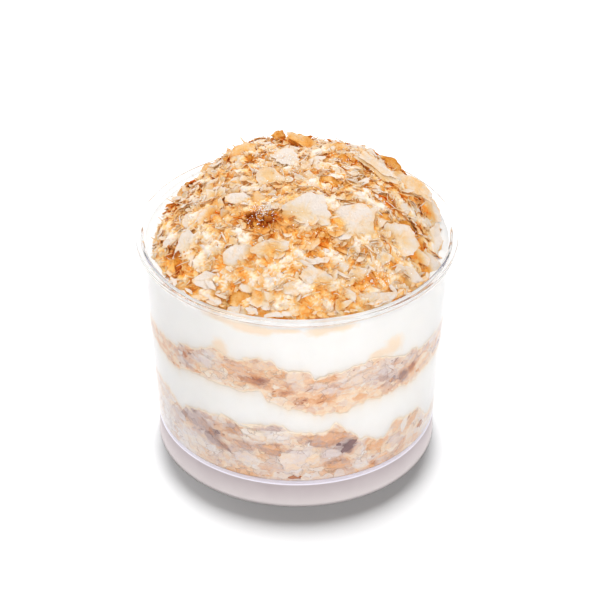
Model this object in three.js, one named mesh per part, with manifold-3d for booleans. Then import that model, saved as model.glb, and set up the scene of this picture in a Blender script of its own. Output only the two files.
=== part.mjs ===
// A mille-feuille dessert in its clear plastic cup: two layers of broken puff pastry and two of cream
// behind the wall, and a heap of pastry flakes that stands above the rim.
// Millimetres, +Z up, origin at the centre of the foot's underside. Azimuth 0 is the front, at -Y,
// and grows towards +X.
import * as THREE from "three";
import { mergeVertices } from "three/addons/utils/BufferGeometryUtils.js";
import Module from "manifold-3d";

const wasm = await Module();
wasm.setup();

// Cup
const RIM_RADIUS = 40;
const CUP_HEIGHT = 58.8;
const WALL_TOP_RADIUS = 38.6;
const FOOT_RADIUS = 34.9;
const WALL = 0.9;
const LIP_HEIGHT = 1.3;
const FLOOR_UNDERSIDE = 6;
const FLOOR = 1.1;
const CORNER_RADIUS = 1.3;
const ROUND_EDGE = 0.35;
const CUP_SEGMENTS = 64;

// Food, by the level in the middle. Each gap keeps a layer clear of its neighbour and of the wall.
const GAP = 0.3;
const BASE_TOP = 22.6;
const LOWER_CREAM_TOP = 31.4;
const MIDDLE_TOP = 42.4;
const UPPER_CREAM_TOP = 54.6;
const CREAM_CROWN = 0.8;
const LAYER_SEGMENTS = 60;

// Edges between the layers as they show through the wall: [azimuth in degrees, height], from the left
// round the front to the right, and one point at the back, which isn't seen
const BASE_EDGE = [
  [-64, 23.4], [-53, 21.3], [-38, 24.2], [-30, 25], [-20, 24], [-6, 25.6], [0, 23.6], [12, 23.4],
  [16, 25.6], [22, 21.7], [28, 18.7], [38, 16.5], [42, 19.9], [56, 19.2], [68, 13], [80, 14], [180, 22],
];
const LOWER_CREAM_EDGE = [
  [-90, 35], [-69, 34.2], [-57, 32.8], [-51, 33.7], [-38, 35.2], [-25, 35], [-14, 35.4], [-10, 32.3],
  [-2, 31.1], [11, 28.9], [20, 28.5], [24, 30.5], [36, 30.3], [50, 30], [58, 30.6], [72, 31], [85, 32.5],
  [180, 30.5],
];
const MIDDLE_EDGE = [
  [-59, 39.6], [-44, 42.3], [-32, 46], [-26, 44.3], [-16, 45.5], [-10, 45.5], [-6, 43.3], [4, 42.9],
  [7, 40.6], [14, 41.3], [28, 43.1], [33, 43.4], [40, 41.2], [45, 39.4], [50, 40.6], [56, 38.6], [64, 38.6],
  [180, 42],
];

// Heap of flakes
const HEAP_RADIUS = 36.4;
const HEAP_EDGE = 57;
const HEAP_HEIGHT = 19;
const HEAP_POWER = 2.6;
const HEAP_SWELL = 0.6;
const HEAP_SHOULDER = 2;

// Broken flakes that show: those on the heap from the largest down, and those pressed to the wall
const FLAKE_THICKNESS = 0.7;
const FLAKE_CORNERS = 5;
const FLAKE_MARGIN = 0.15;
const HEAP_FLAKES = 110;
const HEAP_DRAW = 900;
const LARGEST_FLAKE = 6.2;
const SMALLEST_FLAKE = 2.7;
const STEEPEST_FLAKE = 34;
const EDGE_FLATTENING = 0.8;
const BASE_FLAKE = 3.5;
const MIDDLE_FLAKE = 2.7;
const STEEPEST_WALL_FLAKE = 8;
const WALL_RELIEF = 0.8;

const TURN = 2 * Math.PI;
const GOLDEN_TURN = TURN * (1 - 1 / 1.6180339887);
const degrees = (a) => (a * Math.PI) / 180;
const mix = (a, b, t) => a + (b - a) * t;

// A number from 0 to 1 that looks random and is the same on each run
function dice(index, salt) {
  const spread = Math.sin(index * 12.9898 + salt * 78.233) * 43758.5453;
  return spread - Math.floor(spread);
}

// Outer and inner radius of the tapered wall, and the radius that food may fill, at height z
const wallRadius = (z) => mix(FOOT_RADIUS, WALL_TOP_RADIUS, z / CUP_HEIGHT);
const innerRadius = (z) => wallRadius(z) - WALL;
const foodRadius = (z) => innerRadius(Math.min(z, CUP_HEIGHT)) - GAP;

// A smooth hump of the given width around one azimuth, both in degrees
function hump(azimuth, at, width) {
  const turn = azimuth - degrees(at);
  const away = Math.atan2(Math.sin(turn), Math.cos(turn));
  return Math.exp(-((away / degrees(width)) ** 2));
}

// The height of an uneven edge at an azimuth, eased from one measured point to the next
function measuredHeight(edge, azimuth) {
  const turn = (((azimuth * 360) / TURN - edge[0][0]) % 360 + 360) % 360;
  const points = [...edge, [edge[0][0] + 360, edge[0][1]]];
  const next = points.findIndex(([at]) => at - edge[0][0] > turn);
  const [from, low] = points[next - 1];
  const [to, high] = points[next];
  return mix(low, high, THREE.MathUtils.smoothstep(turn + edge[0][0], from, to));
}

// The same edge as the faceted layers have it, straight from one segment to the next
function edgeHeight(edge, azimuth) {
  const place = (azimuth / TURN) * LAYER_SEGMENTS;
  const first = Math.floor(place);
  const heightAt = (segment) => measuredHeight(edge, (segment * TURN) / LAYER_SEGMENTS);
  return mix(heightAt(first), heightAt(first + 1), place - first);
}

// The surfaces between the layers, at an azimuth and a share of the radius: the edge at the wall,
// the mean level in the middle
const inwards = (edge, middle) => (azimuth, share) => mix(middle, edgeHeight(edge, azimuth), share);
const raised = (surface, by) => (azimuth, share) => surface(azimuth, share) + by;
const floorTop = FLOOR_UNDERSIDE + FLOOR;
const baseBottom = (_, share) => floorTop + GAP + CORNER_RADIUS * share ** 40;
const baseTop = inwards(BASE_EDGE, BASE_TOP);
const lowerCreamTop = inwards(LOWER_CREAM_EDGE, LOWER_CREAM_TOP);
const middleBottom = raised(lowerCreamTop, GAP);
const middleTop = inwards(MIDDLE_EDGE, MIDDLE_TOP);
const upperCreamTop = (_, share) => UPPER_CREAM_TOP + CREAM_CROWN * (1 - share);

// Heap: how far it spreads at an azimuth, pulled in at the back left where the cream shows
const heapRadius = (azimuth) => HEAP_RADIUS - 3.2 * hump(azimuth, -115, 36);

// The bare dome, with a low uneven swell and a fuller shoulder at the back right
function heapTop(azimuth, share) {
  const swell = HEAP_SWELL * Math.sin(3 * azimuth + 5 * share) + HEAP_SHOULDER * hump(azimuth, 118, 45);
  return HEAP_EDGE + HEAP_HEIGHT * (1 - share ** HEAP_POWER) + swell * 6.75 * share ** 2 * (1 - share);
}

// A closed geometry as a solid that can be joined
function solidOf(geometry) {
  const bare = geometry.index ? geometry.toNonIndexed() : geometry;
  const merged = mergeVertices(
    new THREE.BufferGeometry().setAttribute("position", bare.getAttribute("position")), 1e-4);
  const corners = merged.index.array;
  const triangles = [];
  for (let i = 0; i < corners.length; i += 3) {
    const [a, b, c] = corners.subarray(i, i + 3);
    if (a !== b && b !== c && a !== c) triangles.push(a, b, c);
  }
  return new wasm.Manifold(new wasm.Mesh({
    numProp: 3,
    vertProperties: merged.getAttribute("position").array,
    triVerts: new Uint32Array(triangles),
  }));
}

// The main body of a solid, without the hollows that joined flakes can seal, as a geometry
function geometryOf(solid) {
  const bodies = solid.decompose();
  const main = bodies.reduce((best, body) => (body.volume() > best.volume() ? body : best));
  const mesh = main.getMesh();
  return new THREE.BufferGeometry()
    .setAttribute("position", new THREE.BufferAttribute(mesh.vertProperties, 3))
    .setIndex(new THREE.BufferAttribute(mesh.triVerts, 1));
}

// A profile of [radius, height] points, from axis to axis, turned about Z
function turned(profile, segments) {
  const points = profile.map(([radius, height]) => new THREE.Vector2(radius, height));
  return new THREE.LatheGeometry(points, segments).rotateX(Math.PI / 2);
}

// Cup: one moulded piece with a lip at the rim and a floor that stands on a hollow foot
function cupGeometry() {
  const lipUnder = CUP_HEIGHT - LIP_HEIGHT;
  const lipSide = RIM_RADIUS - ROUND_EDGE;
  const footRecess = innerRadius(FLOOR_UNDERSIDE);
  const cornerTop = floorTop + CORNER_RADIUS;
  const cornerBevel = 0.3 * CORNER_RADIUS;
  return turned([
    [0, FLOOR_UNDERSIDE],
    [footRecess - ROUND_EDGE, FLOOR_UNDERSIDE],
    [footRecess, FLOOR_UNDERSIDE - ROUND_EDGE],
    [innerRadius(0), ROUND_EDGE / 2],
    [innerRadius(0) + ROUND_EDGE / 2, 0],
    [FOOT_RADIUS - ROUND_EDGE / 2, 0],
    [wallRadius(ROUND_EDGE), ROUND_EDGE],
    [wallRadius(lipUnder), lipUnder],
    [lipSide, lipUnder],
    [RIM_RADIUS, lipUnder + ROUND_EDGE],
    [RIM_RADIUS, CUP_HEIGHT - ROUND_EDGE],
    [lipSide, CUP_HEIGHT],
    [innerRadius(CUP_HEIGHT) + ROUND_EDGE, CUP_HEIGHT],
    [innerRadius(CUP_HEIGHT), CUP_HEIGHT - ROUND_EDGE],
    [innerRadius(cornerTop), cornerTop],
    [innerRadius(floorTop) - cornerBevel, floorTop + cornerBevel],
    [innerRadius(floorTop) - CORNER_RADIUS, floorTop],
    [0, floorTop],
  ], CUP_SEGMENTS);
}

// A layer between two surfaces, out to a radius that depends on height and azimuth. The unit profile
// holds shares of the radius and of the height, and each point of it is then put in place.
function layerGeometry(bottom, top, radiusAt, under = [1], over = [1]) {
  const profile = [
    [0, 0],
    ...under.map((share) => [share, 0]),
    [1, 0.5],
    ...over.map((share) => [share, 1]),
    [0, 1],
  ];
  const geometry = turned(profile, LAYER_SEGMENTS);
  const place = geometry.getAttribute("position");
  for (let i = 0; i < place.count; i++) {
    const share = Math.hypot(place.getX(i), place.getY(i));
    const azimuth = Math.atan2(place.getX(i), -place.getY(i));
    const height = mix(bottom(azimuth, share), top(azimuth, share), place.getZ(i));
    const radius = share * radiusAt(height, azimuth);
    place.setXYZ(i, radius * Math.sin(azimuth), -radius * Math.cos(azimuth), height);
  }
  return geometry;
}

// A broken flake: a thin plate with an uneven outline, centred on the origin and facing +Z
function flakeGeometry(index, radius) {
  const stretch = mix(1, 1.35, dice(index, 6));
  const outline = Array.from({ length: FLAKE_CORNERS }, (_, i) => {
    const angle = (TURN * (i + 0.7 * (dice(index, 20 + i) - 0.5))) / FLAKE_CORNERS;
    const reach = radius * mix(0.72, 1.12, dice(index, 40 + i));
    return new THREE.Vector2(reach * stretch * Math.cos(angle), (reach / stretch) * Math.sin(angle));
  });
  return new THREE.ExtrudeGeometry(new THREE.Shape(outline), {
    depth: FLAKE_THICKNESS,
    bevelEnabled: false,
  }).translate(0, 0, -FLAKE_THICKNESS / 2);
}

// A flake that faces along the normal, spun about it and tipped by up to the steepest angle
function placedFlake(index, radius, place, normal, steepest) {
  const facing = new THREE.Quaternion().setFromUnitVectors(new THREE.Vector3(0, 0, 1), normal);
  const spin = new THREE.Matrix4().makeRotationZ(TURN * dice(index, 3));
  const tip = new THREE.Matrix4().makeRotationX(degrees(steepest) * (2 * dice(index, 5) - 1));
  const pose = new THREE.Matrix4().makeRotationFromQuaternion(facing).multiply(spin).multiply(tip);
  return flakeGeometry(index, radius).applyMatrix4(pose.setPosition(place));
}

// Moves a flake that reaches too far: in from the wall, and up or down to between two surfaces
function movedClear(flake, outwards, bottom, top) {
  const corners = flake.getAttribute("position");
  const worst = (reach) => {
    let most = 0;
    for (let i = 0; i < corners.count; i++) {
      const radius = Math.hypot(corners.getX(i), corners.getY(i));
      const azimuth = Math.atan2(corners.getX(i), -corners.getY(i));
      most = Math.max(most, reach(radius, azimuth, corners.getZ(i)) + FLAKE_MARGIN);
    }
    return most;
  };
  const shareOf = (radius, z) => Math.min(1, radius / foodRadius(z));
  const inBy = worst((radius, _, z) => radius - foodRadius(z));
  flake.translate(-inBy * outwards.x, -inBy * outwards.y, 0);
  const upBy = worst((radius, azimuth, z) => bottom(azimuth, shareOf(radius, z)) - z);
  const downBy = worst((radius, azimuth, z) => z - top(azimuth, shareOf(radius, z)));
  return flake.translate(0, 0, upBy - downBy);
}

// The horizontal direction away from the axis
const outwardsAt = (azimuth) => new THREE.Vector3(Math.sin(azimuth), -Math.cos(azimuth), 0);

// Pastry layer: a core with rows of flakes pressed flat to the wall
function pastryLayer(bottom, top, rows, columns, radius, firstIndex) {
  let solid = solidOf(layerGeometry(bottom, top, (z) => foodRadius(z) - WALL_RELIEF, [0.94, 1]));
  for (let i = 0; i < rows * columns; i++) {
    const index = firstIndex + i;
    const row = Math.floor(i / columns);
    const azimuth = (TURN * ((i % columns) + 0.5 * (row % 2) + 0.4 * dice(index, 1))) / columns;
    const nearby = [-0.14, -0.07, 0, 0.07, 0.14].map((turn) => azimuth + turn);
    const low = Math.max(...nearby.map((a) => bottom(a, 1)));
    const high = Math.min(...nearby.map((a) => top(a, 1)));
    const height = mix(low, high, (row + mix(0.3, 0.7, dice(index, 2))) / rows);
    const outwards = outwardsAt(azimuth);
    const place = outwards.clone().multiplyScalar(foodRadius(height)).setZ(height);
    const size = Math.min(radius * mix(0.7, 1.2, dice(index, 4)), 0.3 * (high - low));
    const flake = placedFlake(index, size, place, outwards, STEEPEST_WALL_FLAKE);
    solid = solid.add(solidOf(movedClear(flake, outwards, bottom, top)));
  }
  return geometryOf(solid);
}

// A point of the dome, and the outward normal there
function domePoint(azimuth, share) {
  return outwardsAt(azimuth).multiplyScalar(share * heapRadius(azimuth)).setZ(heapTop(azimuth, share));
}

function domeNormal(azimuth, share) {
  const step = 0.02;
  const here = domePoint(azimuth, share);
  const out = domePoint(azimuth, share + step).sub(here);
  const round = domePoint(azimuth + step, share).sub(here);
  return out.cross(round).normalize();
}

// Heap of flakes: the dome with the larger flakes fused on, spread in a spiral from the middle
function heapGeometry() {
  const bottom = raised(upperCreamTop, GAP);
  const rings = [1, 0.92, 0.78, 0.6, 0.4, 0.2];
  let solid = solidOf(layerGeometry(bottom, heapTop, (_, azimuth) => heapRadius(azimuth), [1], rings));
  for (let i = 0; i < HEAP_FLAKES; i++) {
    const index = HEAP_DRAW + i;
    const turn = (7 * i) % HEAP_FLAKES;
    const share = Math.sqrt((turn + 0.5) / HEAP_FLAKES);
    const azimuth = turn * GOLDEN_TURN;
    const normal = domeNormal(azimuth, share);
    const lift = mix(0, 0.8, dice(index, 2));
    const place = domePoint(azimuth, share).addScaledVector(normal, lift);
    normal.z += EDGE_FLATTENING * share ** 4;
    normal.normalize();
    const size = mix(LARGEST_FLAKE, SMALLEST_FLAKE, Math.sqrt(i / HEAP_FLAKES));
    const flake = placedFlake(index, size, place, normal, STEEPEST_FLAKE);
    solid = solid.add(solidOf(movedClear(flake, outwardsAt(azimuth), bottom, () => Infinity)));
  }
  return geometryOf(solid);
}

const creamLayer = (below, top) => geometryOf(solidOf(layerGeometry(raised(below, GAP), top, foodRadius)));

const FINISHES = {
  plastic: { color: "#f2f4f6", roughness: 0.06, metalness: 0, transparent: true, opacity: 0.3 },
  cream: { color: "#fbf8f1", roughness: 0.5, metalness: 0 },
  soaked: { color: "#d3a983", roughness: 0.75, metalness: 0 },
  flake: { color: "#e0a85c", roughness: 0.6, metalness: 0 },
};

function piece(name, geometry, finish) {
  const mesh = new THREE.Mesh(geometry, new THREE.MeshStandardMaterial(FINISHES[finish]));
  mesh.name = name;
  return mesh;
}

const dessert = new THREE.Group();
dessert.add(
  piece("cup", geometryOf(solidOf(cupGeometry())), "plastic"),
  piece("pastry_base", pastryLayer(baseBottom, baseTop, 2, 20, BASE_FLAKE, 200), "soaked"),
  piece("cream_lower", creamLayer(baseTop, lowerCreamTop), "cream"),
  piece("pastry_middle", pastryLayer(middleBottom, middleTop, 1, 26, MIDDLE_FLAKE, 500), "soaked"),
  piece("cream_upper", creamLayer(middleTop, upperCreamTop), "cream"),
  piece("flake_heap", heapGeometry(), "flake"),
);

export default dessert;
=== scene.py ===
import bpy
import numpy as np
from bpy.props import FloatProperty, FloatVectorProperty, IntProperty, PointerProperty
from mathutils import Matrix, Vector


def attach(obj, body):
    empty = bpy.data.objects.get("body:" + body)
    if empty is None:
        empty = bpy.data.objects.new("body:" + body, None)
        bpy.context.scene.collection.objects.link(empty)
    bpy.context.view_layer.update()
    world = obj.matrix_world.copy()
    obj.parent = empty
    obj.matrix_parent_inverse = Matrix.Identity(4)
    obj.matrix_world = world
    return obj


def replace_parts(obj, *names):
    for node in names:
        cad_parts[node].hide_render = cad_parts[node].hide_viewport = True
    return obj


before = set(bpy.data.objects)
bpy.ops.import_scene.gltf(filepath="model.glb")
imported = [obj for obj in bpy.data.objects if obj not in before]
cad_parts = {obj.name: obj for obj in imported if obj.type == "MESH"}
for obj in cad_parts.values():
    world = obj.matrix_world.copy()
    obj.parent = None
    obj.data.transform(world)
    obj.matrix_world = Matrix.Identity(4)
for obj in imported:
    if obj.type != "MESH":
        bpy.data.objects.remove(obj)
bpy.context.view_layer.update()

bl_info = {
    "name": "Mille-feuille cup",
    "version": (1, 0, 0),
    "blender": (4, 5, 0),
    "location": "View3D > Sidebar > Dessert",
    "description": "Builds a layered pastry dessert in a clear cup on its packed frame",
    "category": "Object",
}

MM = 0.001
BODY = "root"

# Fixed starts of the random draws
PASTRY_SEED = 11
HEAP_SEED = 29
LISTED_SEED = 31
SUGAR_SEED = 41

# Range of random phases of waves, in radians
PHASES = (0, 6.28)

# Edges between faces that turn by more than this, in radians, stay sharp
SHARP = 0.7

# Edges between the layers at the wall: (azimuth in degrees from the front, height in mm)
BASE_EDGE = (
    (-64, 23.4), (-53, 21.3), (-38, 24.2), (-30, 25), (-20, 24), (-6, 25.6), (0, 23.6), (12, 23.4),
    (16, 25.6), (22, 21.7), (28, 18.7), (38, 16.5), (42, 19.9), (56, 19.2), (68, 13), (80, 14), (180, 22),
)
LOWER_CREAM_EDGE = (
    (-90, 35), (-69, 34.2), (-57, 32.8), (-51, 33.7), (-38, 35.2), (-25, 35), (-14, 35.4), (-10, 32.3),
    (-2, 31.1), (11, 28.9), (20, 28.5), (24, 30.5), (36, 30.3), (50, 30), (58, 30.6), (72, 31), (85, 32.5),
    (180, 30.5),
)
MIDDLE_EDGE = (
    (-59, 39.6), (-44, 42.3), (-32, 46), (-26, 44.3), (-16, 45.5), (-10, 45.5), (-6, 43.3), (4, 42.9),
    (7, 40.6), (14, 41.3), (28, 43.1), (33, 43.4), (40, 41.2), (45, 39.4), (50, 40.6), (56, 38.6),
    (64, 38.6), (180, 42),
)


def linear(red, green, blue):
    """A screen colour from 0 to 255 as linear light."""
    share = np.array([red, green, blue]) / 255
    return tuple(np.where(share <= 0.04045, share / 12.92, ((share + 0.055) / 1.055) ** 2.4))


class CupProps(bpy.types.PropertyGroup):
    """Sizes and finish of the clear cup."""

    rim: FloatProperty(name="Rim radius", description="To the lip's edge", default=40 * MM, unit="LENGTH")
    height: FloatProperty(name="Height", description="Foot to rim", default=58.8 * MM, unit="LENGTH")
    wall_top: FloatProperty(
        name="Wall radius at the top", description="Outside, under the lip", default=38.6 * MM,
        unit="LENGTH")
    foot: FloatProperty(name="Foot radius", description="Outside", default=34.9 * MM, unit="LENGTH")
    wall: FloatProperty(name="Wall", description="Thickness", default=0.9 * MM, unit="LENGTH")
    lip: FloatProperty(name="Lip height", description="Of the rim's lip", default=1.3 * MM, unit="LENGTH")
    floor_under: FloatProperty(
        name="Floor underside", description="Height above the table", default=6 * MM, unit="LENGTH")
    floor: FloatProperty(name="Floor", description="Thickness", default=1.1 * MM, unit="LENGTH")
    corner: FloatProperty(
        name="Inner corner", description="Radius between wall and floor", default=1.3 * MM, unit="LENGTH")
    tint: FloatVectorProperty(
        name="Tint", description="Colour of the plastic", subtype="COLOR", default=(0.98, 0.985, 0.99))


class FoodProps(bpy.types.PropertyGroup):
    """Levels, colours and amounts of the food."""

    cream_top: FloatProperty(
        name="Cream level", description="At the wall", default=57.3 * MM, unit="LENGTH")
    heap_radius: FloatProperty(
        name="Heap radius", description="At its foot", default=36.4 * MM, unit="LENGTH")
    heap_edge: FloatProperty(
        name="Heap edge", description="Level of its foot", default=57 * MM, unit="LENGTH")
    heap_height: FloatProperty(
        name="Heap height", description="Of the bare dome above its foot", default=19 * MM, unit="LENGTH")
    heap_power: FloatProperty(name="Heap fullness", description="Power of the dome's curve", default=2.6)
    base_flakes: IntProperty(name="Base flakes", description="Pressed to the wall", default=260)
    middle_flakes: IntProperty(name="Middle flakes", description="Pressed to the wall", default=300)
    heap_flakes: IntProperty(name="Heap flakes", description="Golden broken sheets", default=560)
    heap_shards: IntProperty(name="Heap shards", description="Small broken sheets", default=2200)
    heap_clumps: IntProperty(name="Heap clumps", description="Small stacks of sheets", default=220)
    heap_shreds: IntProperty(name="Heap shreds", description="Thin curled strips", default=1300)
    heap_crumbs: IntProperty(name="Heap crumbs", description="Loose grains", default=500)
    dust_grains: IntProperty(name="Sugar grains", description="White dust", default=900)
    cream: FloatVectorProperty(
        name="Cream", description="Whipped custard cream", subtype="COLOR", default=linear(250, 248, 245))
    pale: FloatVectorProperty(
        name="Pale flake", description="Thin inner sheet", subtype="COLOR", default=linear(228, 218, 209))
    buttery: FloatVectorProperty(
        name="Buttery flake", description="Lightly baked sheet", subtype="COLOR",
        default=linear(232, 206, 174))
    golden: FloatVectorProperty(
        name="Golden flake", description="Baked sheet", subtype="COLOR", default=linear(232, 184, 118))
    toasted: FloatVectorProperty(
        name="Toasted flake", description="Well baked sheet", subtype="COLOR", default=linear(214, 142, 50))
    brown: FloatVectorProperty(
        name="Brown flake", description="Darkest crust", subtype="COLOR", default=linear(160, 84, 28))


class StageProps(bpy.types.PropertyGroup):
    """Light and floor."""

    floor: FloatVectorProperty(
        name="Floor", description="Plain pale table", subtype="COLOR", default=(0.275, 0.275, 0.279))
    sky: FloatProperty(name="Sky", description="Strength of the even light all round", default=1.05)
    key: FloatProperty(name="Key lamp", description="Above, behind and to the left", default=3, unit="POWER")
    table: FloatProperty(name="Table lamp", description="Lights the floor alone", default=470, unit="POWER")
    front: FloatProperty(
        name="Front lamp", description="Soft fill from the front", default=4.8, unit="POWER")


def mix(a, b, t):
    return a + (b - a) * t


def ease(t):
    """3t2 - 2t3 between 0 and 1."""
    t = np.clip(t, 0, 1)
    return t * t * (3 - 2 * t)


def unit(vectors):
    return vectors / np.linalg.norm(vectors, axis=-1, keepdims=True)


def even_turns(count):
    """Angles at even steps all round."""
    return np.arange(count) * 2 * np.pi / count


def skewed(rng, low, high, count, power):
    """Random values from low to high, the more of them near low the greater the power."""
    return mix(low, high, rng.uniform(0, 1, count) ** power)


def tipped(rng, normal, tip):
    """Normals that chance tips a little."""
    return unit(normal + rng.normal(0, tip, normal.shape))


def around(azimuth, radius, height):
    """Points at an azimuth from the front, a radius and a height: (r sin a, -r cos a, z)."""
    return np.stack(np.broadcast_arrays(
        radius * np.sin(azimuth), -radius * np.cos(azimuth), height), -1)


def azimuth_of(points):
    return np.arctan2(points[..., 0], -points[..., 1])


def hump(azimuth, at, width):
    """exp(-(distance / width)2) around one azimuth, both in degrees."""
    away = (np.degrees(azimuth) - at + 180) % 360 - 180
    return np.exp(-(away / width) ** 2)


def beside(azimuth, at):
    """Degrees from a place at the wall, or from its twin on the far side of the cup, whichever is nearer."""
    return (np.degrees(azimuth) - at + 90) % 180 - 90


def edge_height(edge, azimuth):
    """Height of a layer's edge: eased from one measured point to the next."""
    at, height = np.array(edge, float).T
    turn = (np.degrees(azimuth) - at[0]) % 360
    at = np.append(at - at[0], 360)
    height = np.append(height, height[0])
    first = np.clip(np.searchsorted(at, turn, side="right") - 1, 0, len(at) - 2)
    return mix(height[first], height[first + 1], ease((turn - at[first]) / (at[first + 1] - at[first])))


def ripple(points, length, seed, waves=14):
    """Uneven relief of about -1 to 1: a sum of sine waves of one length in many directions."""
    rng = np.random.default_rng(seed)
    way = rng.normal(size=(waves, 3))
    way *= (2 * np.pi / length * rng.uniform(0.7, 1.4, waves) / np.linalg.norm(way, axis=1))[:, None]
    total = np.zeros(points.shape[:-1])
    for direction, start in zip(way, rng.uniform(*PHASES, waves)):
        total += np.sin(points @ direction + start)
    return total * np.sqrt(2 / waves) / 1.6


def ripples(points, rows, start=0.0):
    """Ripples of given height, length and seed, added to a start."""
    total = start
    for height, length, seed in rows:
        total = total + height * ripple(points, length, seed)
    return total


class Cup:
    """The cup's radii by height, in mm: a straight taper, less the wall, less the corner's quarter round."""

    def __init__(self):
        sizes = bpy.context.scene.dessert_cup
        for name in ("rim", "height", "wall_top", "foot", "wall", "lip", "floor_under", "floor", "corner"):
            setattr(self, name, getattr(sizes, name) / MM)
        self.floor_top = self.floor_under + self.floor

    def outer(self, z):
        return mix(self.foot, self.wall_top, np.minimum(z, self.height) / self.height)

    def bare(self, z):
        return self.outer(z) - self.wall

    def inner(self, z):
        below = np.clip(self.floor_top + self.corner - z, 0, self.corner)
        return self.bare(z) - self.corner + np.sqrt(self.corner ** 2 - below ** 2)


# Where the heap's foot draws in, and where its slope swells: azimuth and width in degrees, depth in mm
HEAP_HOLLOWS = ((-115, 36, 3.2), (88, 26, 2.2))
HEAP_SWELLS = ((118, 45, 2), (-122, 42, 1.5))

# Makes share2 (1 - share) reach 1 at its highest
SWELL_PEAK = 6.75

# Height of the dome's wave, in mm
HEAP_WAVE = 0.6


class Heap:
    """The heap's bare dome, in mm: edge + height (1 - share ^ power), with a wave of three to the turn and
    swells that are highest at two thirds of the radius."""

    def __init__(self):
        sizes = bpy.context.scene.dessert_food
        self.wide = sizes.heap_radius / MM
        self.edge = sizes.heap_edge / MM
        self.height = sizes.heap_height / MM
        self.power = sizes.heap_power

    def radius(self, azimuth):
        radius = self.wide
        for at, width, depth in HEAP_HOLLOWS:
            radius = radius - depth * hump(azimuth, at, width)
        return radius

    def point(self, azimuth, share):
        swell = HEAP_WAVE * np.sin(3 * azimuth + 5 * share)
        for at, width, height in HEAP_SWELLS:
            swell = swell + height * hump(azimuth, at, width)
        swell = swell * SWELL_PEAK * share ** 2 * (1 - share)
        height = self.edge + self.height * (1 - share ** self.power) + swell
        return around(azimuth, share * self.radius(azimuth), height)

    def normal(self, azimuth, share):
        here = self.point(azimuth, share)
        out = self.point(azimuth, share + 0.02) - here
        across = self.point(azimuth + 0.02, share) - here
        return unit(np.cross(out, across))


def turned_faces(rings, segments):
    """Triangles and quads of a closed turned skin: first pole, rings from below to above, last pole."""
    step = np.arange(segments)
    after = (step + 1) % segments
    first = 1 + np.arange(rings - 1)[:, None] * segments
    quads = np.stack([first + step, first + after, first + segments + after, first + segments + step], -1)
    top = 1 + (rings - 1) * segments
    under = np.stack([np.zeros_like(step), 1 + after, 1 + step], -1)
    over = np.stack([np.full_like(step, top + segments), top + step, top + after], -1)
    return np.concatenate([under, over]), quads.reshape(-1, 4)


def turned_points(rings, lowest, highest):
    """The rings of a turned skin, (rings, segments, 3), with a pole before and after them."""
    return np.concatenate([[lowest], rings.reshape(-1, 3), [highest]])


def show_mesh(name, points, tris, quads, material, attributes=()):
    """A new piece at the origin from points in mm, put into the mesh as whole arrays."""
    mesh = bpy.data.meshes.new(name)
    mesh.vertices.add(len(points))
    mesh.vertices.foreach_set("co", (points * MM).astype(np.float32).ravel())
    corners = np.concatenate([tris.ravel(), quads.ravel()]).astype(np.int32)
    starts = np.concatenate([np.arange(len(tris)) * 3, len(tris) * 3 + np.arange(len(quads)) * 4])
    mesh.loops.add(len(corners))
    mesh.loops.foreach_set("vertex_index", corners)
    mesh.polygons.add(len(starts))
    mesh.polygons.foreach_set("loop_start", starts.astype(np.int32))
    mesh.polygons.foreach_set("use_smooth", np.ones(len(starts), bool))
    for key, values in dict(attributes).items():
        layer = mesh.attributes.new(key, "FLOAT", "POINT")
        layer.data.foreach_set("value", np.asarray(values, np.float32).ravel())
    mesh.update(calc_edges=True)
    if mesh.validate():
        raise RuntimeError(name + " has faces that can't be used")
    mesh.materials.append(material)
    piece = bpy.data.objects.new(name, mesh)
    bpy.context.collection.objects.link(piece)
    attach(piece, BODY)
    return piece


def show_many(name, groups, faces, material, **attributes):
    """Like shapes joined in one piece: groups is (shapes, points of one shape, 3)."""
    count, each = groups.shape[:2]
    first = (np.arange(count) * each)[:, None, None]
    tris, quads = (first + part for part in faces)
    spread = {key: np.broadcast_to(value, (count, each)) for key, value in attributes.items()}
    points = groups.reshape(-1, 3)
    return show_mesh(name, points, tris.reshape(-1, 3), quads.reshape(-1, 4), material, spread)


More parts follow.
